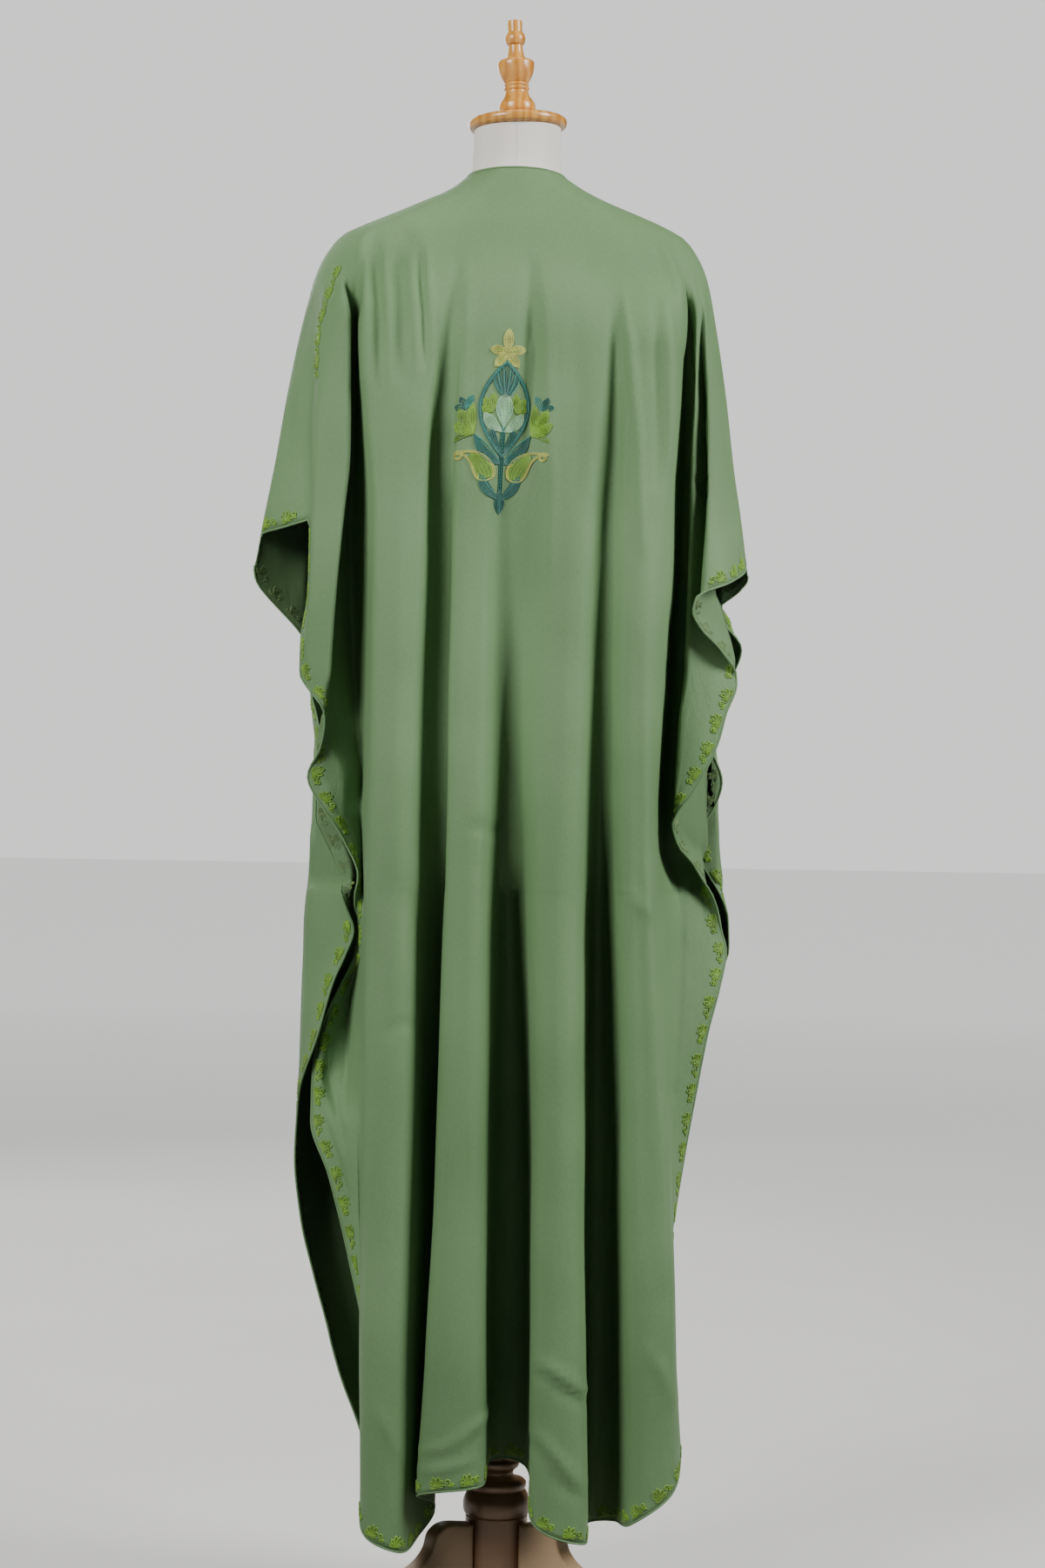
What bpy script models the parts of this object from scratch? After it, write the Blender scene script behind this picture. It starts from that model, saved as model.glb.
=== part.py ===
"""Wide kaftan worn by a limbless dress form on a turned wooden stand.

Metres, +Z up. The origin is on the floor, under the stand's hub. The garment's back
faces -Y, its front +Y, and +X is the wearer's right. The tables are in millimetres.

The kaftan is two wide cloth panels, back and front, joined over the shoulders and along
the tops of the sleeves, and left open at the cuffs, the hem and the side edges, which
hang in cascades. Each panel is a wall through level sections. In a section, the middle
is drawn through fold lines (one row of a table for each fold line), and each side
through a short path for each height.
"""
import math

import bmesh
import bpy
import numpy as np
from mathutils import Matrix, Vector

MM = 0.001

# ---------------------------------------------------------------- driving dimensions (mm)
CLOTH = 1.6                 # wall thickness of the cloth
SEAM = 0.9                  # between the two panels along the shoulder seams
CREST_BACK = -121.0         # y of the back panel's fold crests
CREST_FRONT = 134.0         # y of the front panel's fold crests
CREST_SPREAD = 4.0          # how much further out the crests hang at the hem
HEM_LEVEL = 120.0           # height of the lowest section
HEM_BLEND = 300.0           # below this height the sections tilt to follow the hem
YOKE_LEVEL = 1440.0         # above this height the cloth lies smooth on the shoulders
SLEEVE_COLUMNS = 4          # columns from the sleeve's fold to its tuck
WING_COLUMNS = 11           # columns from the tuck, or the side edge, to the channel
BACK_STEPS = (1, 2, 2, 2, 1, 2, 2, 2, 1, 2, 2, 2, 1, 2, 2)   # columns between fold lines
FRONT_STEPS = (1,) * 15

NECK_TILT = math.radians(2.4)   # the neck's top leans a little to the wearer's left
NECK_TOP = 1594.0

# ---------------------------------------------------------------- shoulder and sleeve top
# Height, and the half widths of the cloth there, from the neck over the shoulders and
# down the folded tops of the sleeves; then how far back and front the yoke stands.
RIDGE = (  # z, left, right, back, front
    (1541.0, 53.0, 52.0, 58.0, 62.0),
    (1526.0, 73.0, 76.0, 63.0, 68.0),
    (1513.0, 103.0, 103.0, 68.0, 74.0),
    (1500.0, 134.0, 136.0, 73.0, 80.0),
    (1488.0, 163.0, 163.0, 79.0, 86.0),
    (1477.0, 186.0, 181.0, 84.0, 92.0),
    (1466.0, 196.0, 190.0, 89.0, 97.0),
    (1449.0, 206.0, 199.0, 96.0, 103.0),
    (1426.0, 215.0, 206.0, 103.0, 110.0),
    (1400.0, 221.0, 211.0, 109.0, 117.0),
    (1350.0, 231.0, 219.0, 116.0, 126.0),
)
YOKE_ROUND = 2.3            # exponent of the yoke's rounded plan

# ---------------------------------------------------------------- fold lines of the middle
# x at three heights, and how far the line lies behind the crests at six heights.
FOLD_X_AT = (1350.0, 900.0, 150.0)
FOLD_DROP_AT = (1350.0, 1150.0, 900.0, 700.0, 400.0, 150.0)
BACK_FOLDS = (  # name, x at FOLD_X_AT, drop at FOLD_DROP_AT, hem height
    ("left flank", (-154, -143, -134), (18, 24, 30, 30, 26, 24), 150),
    ("first lobe, left", (-134, -125, -126), (7, 5, 4, 6, 6, 6), 124),
    ("first lobe, right", (-94, -97, -98), (1, 1, 1, 3, 6, 8), 109),
    ("first valley, left", (-81, -87, -78), (6, 24, 36, 44, 52, 46), 110),
    ("first valley, right", (-66, -63, -60), (5, 32, 42, 62, 82, 76), 140),
    ("second lobe, left", (-50, -67, -82), (1, 2, 3, 4, 5, 6), 176),
    ("second lobe, right", (-6, -28, -16), (0, 0, 0, 0, 2, 4), 180),
    ("middle valley, left", (8, -12, -8), (2, 8, 16, 44, 80, 82), 192),
    ("middle valley, right", (26, 8, 36), (3, 8, 16, 46, 84, 86), 190),
    ("third lobe, left", (39, 34, 31), (1, 1, 1, 2, 4, 4), 138),
    ("third lobe, right", (90, 79, 90), (0, 0, 0, 2, 3, 3), 120),
    ("third valley, left", (101, 86, 84), (3, 12, 32, 56, 72, 70), 126),
    ("third valley, right", (112, 99, 118), (4, 13, 32, 52, 66, 64), 130),
    ("fourth lobe, left", (122, 110, 132), (1, 2, 4, 9, 14, 14), 136),
    ("fourth lobe, right", (160, 147, 178), (2, 2, 4, 7, 10, 12), 176),
    ("right flank", (172, 157, 187), (18, 22, 26, 22, 30, 40), 205),
)
FRONT_FOLDS = (
    ("left flank", (-156, -150, -140), (30, 34, 32, 34, 34, 36), 150),
    ("first lobe, left", (-134, -134, -128), (12, 10, 8, 8, 8, 8), 138),
    ("first lobe, right", (-98, -100, -96), (6, 2, 0, 2, 2, 3), 142),
    ("first valley, left", (-84, -86, -82), (8, 14, 24, 38, 52, 52), 150),
    ("first valley, right", (-70, -72, -68), (7, 14, 24, 40, 54, 54), 158),
    ("second lobe, left", (-56, -58, -56), (3, 1, 1, 2, 3, 4), 160),
    ("second lobe, right", (-24, -26, -22), (2, 0, 0, 0, 0, 0), 162),
    ("slit, left", (-4, -8, -6), (4, 6, 12, 24, 32, 34), 166),
    ("slit, right", (4, 8, 8), (4, 6, 12, 24, 32, 34), 166),
    ("third lobe, left", (24, 28, 26), (2, 0, 0, 0, 1, 1), 162),
    ("third lobe, right", (60, 62, 60), (3, 1, 1, 2, 3, 4), 158),
    ("third valley, left", (74, 76, 76), (7, 12, 22, 36, 48, 48), 152),
    ("third valley, right", (88, 90, 92), (8, 12, 22, 36, 48, 48), 150),
    ("fourth lobe, left", (102, 104, 108), (6, 3, 1, 3, 4, 5), 146),
    ("fourth lobe, right", (138, 140, 150), (12, 9, 7, 7, 8, 9), 140),
    ("right flank", (158, 160, 172), (30, 33, 30, 32, 36, 40), 140),
)

# ---------------------------------------------------------------- sides of the panels
# Sleeve: the path from the tuck, or fold, beside the body out to the sleeve's folded top.
# Wing: the path from that tuck, or below the cuff from the side edge, in to the channel.
BACK_LEFT_SLEEVE = (  # z, path
    (1440.0, ((-196, -36), (-203, -20), (-208, 0))),
    (1400.0, ((-206, -44), (-212, -26), (-221, 0))),
    (1313.0, ((-211, -40), (-226, -28), (-239, 0))),
    (1240.0, ((-212, -36), (-234, -28), (-251, 0))),
    (1165.0, ((-212, -36), (-240, -26), (-265, 0))),
)
BACK_LEFT_WING = (  # z, tuck or side edge, two folds back and forth, channel
    (1440.0, ((-196, -36), (-190, -46), (-180, -57), (-170, -66), (-160, -74))),
    (1400.0, ((-206, -44), (-199, -65), (-183, -72), (-181, -60), (-168, -56))),
    (1313.0, ((-211, -40), (-207, -67), (-184, -78), (-188, -52), (-172, -36))),
    (1240.0, ((-212, -36), (-208, -69), (-184, -81), (-191, -51), (-174, -26))),
    (1165.0, ((-212, -36), (-209, -71), (-184, -83), (-193, -53), (-172, -20))),
    (1100.0, ((-212, -46), (-209, -73), (-186, -85), (-195, -55), (-168, -18))),
    (1045.0, ((-217, -60), (-211, -77), (-187, -87), (-197, -58), (-166, -18))),
    (1012.0, ((-217, -73), (-206, -82), (-188, -88), (-199, -60), (-163, -18))),
    (992.0, ((-205, -84), (-198, -86), (-189, -88), (-201, -61), (-161, -18))),
    (978.0, ((-194, -88), (-191, -87), (-191, -82), (-203, -62), (-160, -18))),
    (962.0, ((-190, -86), (-194, -79), (-198, -72), (-205, -63), (-158, -18))),
    (935.0, ((-194, -79), (-197, -74), (-201, -69), (-205, -63), (-157, -18))),
    (905.0, ((-208, -67), (-203, -64), (-196, -60), (-184, -53), (-155, -20))),
    (870.0, ((-188, -67), (-184, -63), (-178, -58), (-170, -51), (-153, -24))),
    (840.0, ((-170, -67), (-168, -63), (-164, -58), (-159, -50), (-152, -30))),
    (800.0, ((-153, -71), (-153, -66), (-152, -60), (-151, -52), (-149, -42))),
    (784.0, ((-156, -71), (-155, -67), (-153, -63), (-151, -58), (-147, -54))),
    (772.0, ((-157, -66), (-155, -65), (-152, -64), (-149, -64), (-145, -65))),
    (757.0, ((-154, -54), (-152, -59), (-150, -64), (-148, -69), (-145, -75))),
    (720.0, ((-157, -46), (-154, -50), (-152, -54), (-150, -59), (-148, -65))),
    (690.0, ((-171, -38), (-166, -44), (-161, -50), (-156, -57), (-151, -64))),
    (650.0, ((-188, -30), (-179, -41), (-170, -50), (-161, -59), (-151, -68))),
    (600.0, ((-200, -24), (-188, -38), (-174, -52), (-163, -61), (-151, -72))),
    (568.0, ((-201, -32), (-188, -43), (-174, -56), (-162, -64), (-150, -74))),
    (545.0, ((-201, -44), (-188, -53), (-173, -62), (-161, -69), (-149, -76))),
    (490.0, ((-180, -64), (-172, -69), (-163, -73), (-156, -76), (-148, -80))),
    (440.0, ((-165, -74), (-160, -76), (-155, -79), (-151, -81), (-146, -84))),
    (380.0, ((-150, -82), (-148, -84), (-146, -85), (-144, -87), (-143, -88))),
    (330.0, ((-139, -78), (-140, -81), (-140, -84), (-140, -87), (-139, -90))),
    (260.0, ((-131, -58), (-133, -64), (-135, -71), (-137, -77), (-137, -84))),
    (120.0, ((-130, -56), (-133, -62), (-135, -69), (-137, -75), (-137, -82))),
)
LEFT_LEGS = (2, 3, 3, 3)    # columns from each of these points to the next
BACK_RIGHT_SLEEVE = (
    (1440.0, ((190, -38), (198, -20), (203, 0))),
    (1400.0, ((199, -58), (207, -34), (211, 0))),
    (1313.0, ((201, -62), (217, -42), (225, 0))),
    (1240.0, ((201, -66), (224, -42), (234, 0))),
    (1180.0, ((200, -70), (230, -42), (243, 0))),
    (1110.0, ((195, -76), (224, -66), (249, 0))),
)
BACK_RIGHT_WING = (
    (1440.0, ((190, -38), (186, -46), (181, -54), (176, -62), (170, -70))),
    (1400.0, ((199, -58), (195, -57), (189, -61), (184, -54), (180, -48))),
    (1350.0, ((200, -60), (198, -47), (189, -61), (190, -37), (181, -35))),
    (1300.0, ((201, -62), (206, -38), (188, -60), (200, -24), (183, -22))),
    (1240.0, ((201, -66), (214, -29), (186, -59), (206, -12), (182, -14))),
    (1180.0, ((200, -70), (218, -26), (186, -58), (209, -9), (181, -10))),
    (1110.0, ((195, -76), (217, -26), (185, -57), (212, -8), (180, -6))),
    (1088.0, ((190, -74), (226, -26), (184, -56), (212, -7), (178, -5))),
    (1065.0, ((201, -70), (232, -27), (183, -57), (212, -6), (176, -4))),
    (1050.0, ((216, -61), (236, -30), (182, -59), (212, -5), (175, -3))),
    (1035.0, ((228, -52), (238, -32), (181, -60), (212, -4), (174, -2))),
    (1028.0, ((234, -44), (237, -34), (181, -60), (212, -3), (173, -1))),
    (1021.0, ((238, -38), (235, -37), (181, -60), (212, -2), (173, 0))),
    (1008.0, ((239, -39), (229, -43), (180, -60), (212, -2), (173, 0))),
    (977.0, ((228, -46), (208, -54), (177, -61), (212, 0), (171, 2))),
    (950.0, ((221, -51), (200, -58), (176, -62), (212, 1), (170, 4))),
    (925.0, ((211, -56), (195, -60), (175, -63), (212, 2), (169, 5))),
    (900.0, ((197, -60), (186, -63), (174, -64), (212, 2), (168, 5))),
    (886.0, ((188, -63), (181, -65), (174, -63), (212, 2), (167, 5))),
    (876.0, ((179, -65), (175, -64), (175, -59), (212, 2), (167, 4))),
    (862.0, ((172, -64), (175, -57), (182, -45), (213, 2), (167, 2))),
    (838.0, ((179, -50), (185, -37), (194, -20), (214, 2), (167, 0))),
    (820.0, ((195, -36), (202, -21), (209, -7), (206, 0), (169, -6))),
    (802.0, ((207, -26), (211, -15), (210, -7), (202, -6), (173, -16))),
    (786.0, ((218, -21), (214, -14), (207, -12), (198, -15), (177, -26))),
    (766.0, ((225, -18), (218, -15), (209, -17), (199, -23), (179, -36))),
    (750.0, ((228, -18), (218, -20), (207, -26), (197, -34), (180, -44))),
    (727.0, ((234, -20), (220, -27), (208, -33), (196, -40), (180, -52))),
    (690.0, ((227, -32), (216, -38), (205, -44), (194, -50), (180, -60))),
    (640.0, ((214, -42), (206, -48), (198, -54), (190, -60), (179, -68))),
    (560.0, ((199, -52), (194, -58), (188, -64), (183, -70), (177, -78))),
    (480.0, ((186, -60), (184, -67), (182, -74), (180, -80), (176, -88))),
    (430.0, ((178, -60), (179, -67), (179, -74), (179, -82), (177, -90))),
    (380.0, ((168, -56), (172, -62), (176, -70), (179, -78), (179, -86))),
    (120.0, ((172, -52), (177, -58), (182, -66), (186, -73), (188, -80))),
)
RIGHT_LEGS = (3, 3, 3, 2)
FRONT_LEFT_SLEEVE = (
    (1440.0, ((-192, 42), (-202, 22), (-208, 0))),
    (1400.0, ((-204, 48), (-213, 28), (-221, 0))),
    (1313.0, ((-210, 46), (-227, 30), (-239, 0))),
    (1240.0, ((-214, 44), (-236, 30), (-251, 0))),
    (1165.0, ((-218, 42), (-244, 30), (-265, 0))),
    (1092.0, ((-222, 38), (-250, 24), (-273, 0))),
)
FRONT_LEFT_WING = (
    (1440.0, ((-192, 42), (-187, 48), (-182, 54), (-175, 60), (-168, 64), (-160, 68))),
    (1400.0, ((-204, 48), (-202, 55), (-198, 64), (-189, 68), (-180, 70), (-168, 56))),
    (1313.0, ((-210, 46), (-208, 55), (-204, 68), (-194, 73), (-184, 76), (-172, 46))),
    (1240.0, ((-214, 44), (-211, 55), (-206, 70), (-195, 76), (-184, 80), (-172, 44))),
    (1165.0, ((-218, 42), (-214, 55), (-208, 72), (-196, 78), (-184, 82), (-171, 44))),
    (1092.0, ((-222, 38), (-217, 55), (-209, 72), (-197, 79), (-184, 84), (-170, 46))),
    (1000.0, ((-212, 22), (-214, 46), (-203, 72), (-194, 79), (-184, 84), (-168, 50))),
    (945.0, ((-200, 6), (-206, 26), (-208, 44), (-200, 68), (-189, 80), (-167, 56))),
    (930.0, ((-199, -14), (-199, -4), (-207, 22), (-206, 50), (-190, 78), (-167, 57))),
    (915.0, ((-201, -32), (-195, -20), (-206, 14), (-207, 44), (-190, 77), (-166, 58))),
    (900.0, ((-203, -42), (-193, -28), (-206, 10), (-208, 40), (-190, 76), (-166, 58))),
    (860.0, ((-204, -50), (-184, -40), (-206, 0), (-209, 34), (-192, 74), (-166, 60))),
    (840.0, ((-195, -57), (-173, -46), (-208, -6), (-211, 30), (-194, 72), (-166, 62))),
    (800.0, ((-177, -63), (-159, -53), (-209, -14), (-213, 26), (-196, 70), (-166, 64))),
    (770.0, ((-167, -65), (-163, -53), (-209, -20), (-215, 22), (-196, 70), (-166, 66))),
    (745.0, ((-158, -62), (-170, -51), (-209, -24), (-216, 20), (-197, 70), (-166, 68))),
    (720.0, ((-166, -60), (-180, -48), (-210, -22), (-216, 20), (-197, 70), (-166, 69))),
    (690.0, ((-179, -57), (-190, -44), (-211, -20), (-217, 20), (-198, 70), (-166, 70))),
    (630.0, ((-196, -48), (-203, -34), (-214, -12), (-218, 22), (-198, 70), (-166, 72))),
    (580.0, ((-213, -32), (-216, -20), (-218, -8), (-218, 26), (-198, 70), (-165, 74))),
    (555.0, ((-217, -14), (-218, -4), (-219, 8), (-217, 34), (-200, 68), (-164, 76))),
    (500.0, ((-220, -2), (-219, 8), (-217, 20), (-212, 42), (-198, 66), (-162, 78))),
    (435.0, ((-213, 2), (-211, 12), (-209, 24), (-202, 46), (-190, 66), (-158, 80))),
    (374.0, ((-198, 6), (-196, 16), (-194, 28), (-188, 48), (-178, 66), (-154, 82))),
    (322.0, ((-184, 8), (-183, 18), (-181, 30), (-176, 50), (-168, 68), (-151, 84))),
    (260.0, ((-170, 10), (-169, 22), (-168, 34), (-164, 52), (-158, 70), (-148, 86))),
    (167.0, ((-143, 14), (-145, 26), (-146, 38), (-146, 56), (-146, 72), (-143, 88))),
    (120.0, ((-134, 16), (-136, 28), (-138, 40), (-139, 56), (-140, 72), (-141, 88))),
)
FRONT_LEGS = (2, 3, 2, 2, 2)
FRONT_RIGHT_SLEEVE = (
    (1440.0, ((188, 42), (198, 22), (203, 0))),
    (1400.0, ((197, 50), (206, 30), (211, 0))),
    (1313.0, ((205, 46), (216, 32), (225, 0))),
    (1240.0, ((212, 40), (226, 28), (234, 0))),
    (1180.0, ((218, 30), (234, 22), (243, 0))),
    (1110.0, ((224, 14), (240, 12), (252, 0))),
)
FRONT_RIGHT_WING = (
    (1440.0, ((188, 42), (185, 46), (182, 50), (178, 55), (174, 60), (170, 64))),
    (1400.0, ((197, 50), (195, 58), (192, 66), (186, 68), (180, 68), (176, 56))),
    (1313.0, ((205, 46), (203, 54), (198, 68), (192, 72), (184, 74), (176, 48))),
    (1240.0, ((212, 40), (209, 50), (204, 66), (196, 72), (188, 76), (176, 46))),
    (1180.0, ((218, 30), (215, 42), (210, 62), (200, 72), (190, 78), (177, 48))),
    (1110.0, ((224, 14), (221, 30), (216, 56), (204, 70), (192, 78), (178, 50))),
    (1080.0, ((229, 6), (236, 24), (220, 56), (205, 70), (192, 78), (178, 52))),
    (1050.0, ((246, 8), (241, 26), (222, 56), (206, 69), (192, 78), (177, 54))),
    (1015.0, ((236, 12), (232, 26), (222, 50), (208, 66), (194, 76), (177, 56))),
    (980.0, ((224, 8), (223, 20), (220, 40), (209, 62), (196, 74), (176, 58))),
    (962.0, ((219, -4), (215, 2), (221, 24), (212, 56), (196, 74), (176, 59))),
    (950.0, ((214, -22), (206, -17), (221, 10), (219, 36), (196, 74), (176, 60))),
    (905.0, ((228, -30), (201, -28), (225, 2), (221, 34), (198, 74), (175, 62))),
    (880.0, ((221, -36), (199, -30), (224, 0), (222, 34), (198, 74), (175, 64))),
    (852.0, ((204, -38), (200, -29), (226, 2), (224, 36), (200, 74), (175, 66))),
    (836.0, ((199, -28), (208, -16), (227, 4), (225, 38), (202, 72), (175, 68))),
    (818.0, ((208, -20), (216, -8), (229, 8), (226, 40), (202, 72), (175, 70))),
    (800.0, ((219, -12), (224, -3), (231, 12), (226, 42), (202, 72), (175, 70))),
    (780.0, ((231, -4), (232, 6), (231, 24), (224, 48), (202, 72), (175, 72))),
    (760.0, ((237, 0), (236, 10), (231, 30), (220, 52), (200, 74), (174, 74))),
    (727.0, ((238, 4), (236, 14), (229, 36), (216, 58), (198, 76), (174, 76))),
    (690.0, ((222, 12), (222, 22), (220, 40), (208, 64), (192, 74), (174, 78))),
    (640.0, ((208, 14), (209, 24), (209, 42), (200, 68), (188, 74), (174, 80))),
    (560.0, ((193, 16), (195, 28), (195, 46), (190, 70), (182, 77), (174, 82))),
    (430.0, ((172, 18), (175, 30), (178, 48), (180, 68), (178, 76), (174, 84))),
    (250.0, ((176, 16), (178, 28), (180, 46), (182, 68), (180, 77), (176, 86))),
    (170.0, ((189, 14), (189, 26), (188, 44), (186, 66), (182, 78), (176, 88))),
    (120.0, ((193, 14), (192, 26), (190, 44), (188, 66), (183, 78), (176, 88))),
)

# ---------------------------------------------------------------- stand (mm)
LEG_THICK = 24.0
LEG_ANGLES = (-150.0, -30.0, 90.0)
LEG_OUTLINE = (  # distance from the axis, height
    (33.5, 24.0), (33.5, 118.0), (62.0, 121.0), (78.0, 112.0), (84.0, 92.0),
    (104.0, 76.0), (150.0, 61.0), (198.0, 45.0), (226.0, 24.0), (232.0, 0.0),
    (200.0, 0.0), (184.0, 14.0), (140.0, 26.0), (92.0, 30.0), (58.0, 27.0),
)
HUB_PROFILE = (  # radius, height, top to bottom
    (0.0, 181.6), (21.5, 181.6), (23.6, 179.0), (22.4, 175.5), (18.0, 171.0), (17.0, 167.5),
    (20.0, 163.0), (29.0, 161.0), (31.0, 157.0), (29.5, 151.0), (31.5, 148.5), (35.4, 141.0),
    (35.8, 135.0), (34.5, 127.0), (32.0, 125.5), (33.0, 124.0), (33.0, 16.0),
    (28.0, 4.0), (28.0, 0.0), (0.0, 0.0),
)
POST_RADIUS = 14.0
POST_BOTTOM = 181.9
FORM_BOTTOM = 800.0
FINIAL_PROFILE = (  # radius, height above the cap's seat, top to bottom
    (0.0, 117.0), (6.8, 116.6), (7.8, 115.0), (7.6, 105.5), (9.4, 103.5), (10.9, 98.0),
    (9.6, 92.5), (7.5, 90.5), (8.2, 84.0), (11.2, 75.0), (17.2, 73.0), (19.3, 68.5),
    (18.2, 61.0), (13.6, 52.0), (12.4, 49.5), (12.9, 47.0), (12.0, 45.5), (13.4, 43.0),
    (12.4, 40.5), (13.2, 37.5), (16.8, 30.5), (19.2, 26.5), (19.0, 22.0), (15.0, 18.8),
    (0.0, 18.8),
)
CAP_PROFILE = (  # radius, height above the neck's top, top to bottom
    (0.0, 18.5), (20.0, 18.5), (36.0, 14.5), (47.0, 12.6), (51.5, 10.4), (52.6, 6.6),
    (50.8, 2.4), (46.0, 0.3), (0.0, 0.3),
)
FORM_EASE = 2.4             # how far the form lies under the yoke
FORM_NECK = (  # z, half width, back, front
    (1594.0, 46.0, 46.0, 46.0),
    (1572.0, 46.6, 46.8, 47.6),
    (1552.0, 47.6, 49.5, 52.0),
)
FORM_BODY = (
    (1420.0, 187.0, 94.0, 100.0),
    (1340.0, 162.0, 104.0, 112.0),
    (1240.0, 146.0, 104.0, 122.0),
    (1140.0, 128.0, 87.0, 106.0),
    (1060.0, 112.0, 76.0, 90.0),
    (960.0, 128.0, 77.0, 94.0),
    (860.0, 138.0, 77.0, 97.0),
    (806.0, 132.0, 70.0, 90.0),
    (800.0, 124.0, 64.0, 84.0),
)
FORM_ROUND = 2.25

COLOURS = {
    "cloth": (0.165, 0.262, 0.135, 1.0),
    "linen": (0.70, 0.62, 0.54, 1.0),
    "light wood": (0.56, 0.27, 0.08, 1.0),
    "leg wood": (0.36, 0.15, 0.05, 1.0),
    "dark wood": (0.11, 0.032, 0.010, 1.0),
}
ROUGHNESS = {"cloth": 0.62, "linen": 0.9, "light wood": 0.28,
             "leg wood": 0.35, "dark wood": 0.3}


# ---------------------------------------------------------------- curves and tables
def follow(heights, values, z):
    """Smooth value at height z from a table of falling heights."""
    h = np.asarray(heights, float)[::-1]
    v = np.asarray(values, float)[::-1]
    z = min(max(z, h[0]), h[-1])
    k = min(int(np.searchsorted(h, z, side="right")) - 1, len(h) - 2)
    slopes = np.diff(v, axis=0) / np.diff(h).reshape((-1,) + (1,) * (v.ndim - 1))

    def tangent(i):
        if i == 0:
            return slopes[0]
        if i == len(h) - 1:
            return slopes[-1]
        a, b = slopes[i - 1], slopes[i]
        return np.where(a * b > 0, 2 * a * b / np.where(a + b == 0, 1, a + b), 0.0)

    step = h[k + 1] - h[k]
    t = (z - h[k]) / step
    return ((2 * t**3 - 3 * t**2 + 1) * v[k] + (t**3 - 2 * t**2 + t) * step * tangent(k)
            + (3 * t**2 - 2 * t**3) * v[k + 1] + (t**3 - t**2) * step * tangent(k + 1))


def spaced(path, count):
    """The path's points again, count of them at even steps along it."""
    p = np.asarray(path, float)
    run = np.concatenate(([0.0], np.cumsum(np.linalg.norm(np.diff(p, axis=0), axis=1))))
    at = np.linspace(0.0, run[-1], count)
    return np.column_stack([np.interp(at, run, p[:, i]) for i in range(2)])


def spread(path, legs):
    """A wing's path as WING_COLUMNS + 1 points; legs holds a count for each of its legs."""
    points = []
    for a, b, count in zip(path, path[1:], legs):
        steps = np.arange(count)[:, None] / count
        points.append(np.asarray(a, float) * (1 - steps) + np.asarray(b, float) * steps)
    return np.vstack(points + [path[-1]])


def spline(lines, steps):
    """Uniform cubic B-spline through the lines' neighbourhoods, ends kept."""
    p = np.vstack((2 * lines[0] - lines[1], lines, 2 * lines[-1] - lines[-2]))
    points = []
    for i, count in enumerate(steps):
        for j in range(count):
            t = j / count
            weights = ((1 - t)**3 / 6, (3 * t**3 - 6 * t**2 + 4) / 6,
                       (-3 * t**3 + 3 * t**2 + 3 * t + 1) / 6, t**3 / 6)
            points.append(sum(w * p[i + k] for k, w in enumerate(weights)))
    points.append(lines[-1])
    return np.array(points)


def fade(z, low, high):
    t = min(max((z - low) / (high - low), 0.0), 1.0)
    return t * t * (3 - 2 * t)


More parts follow.
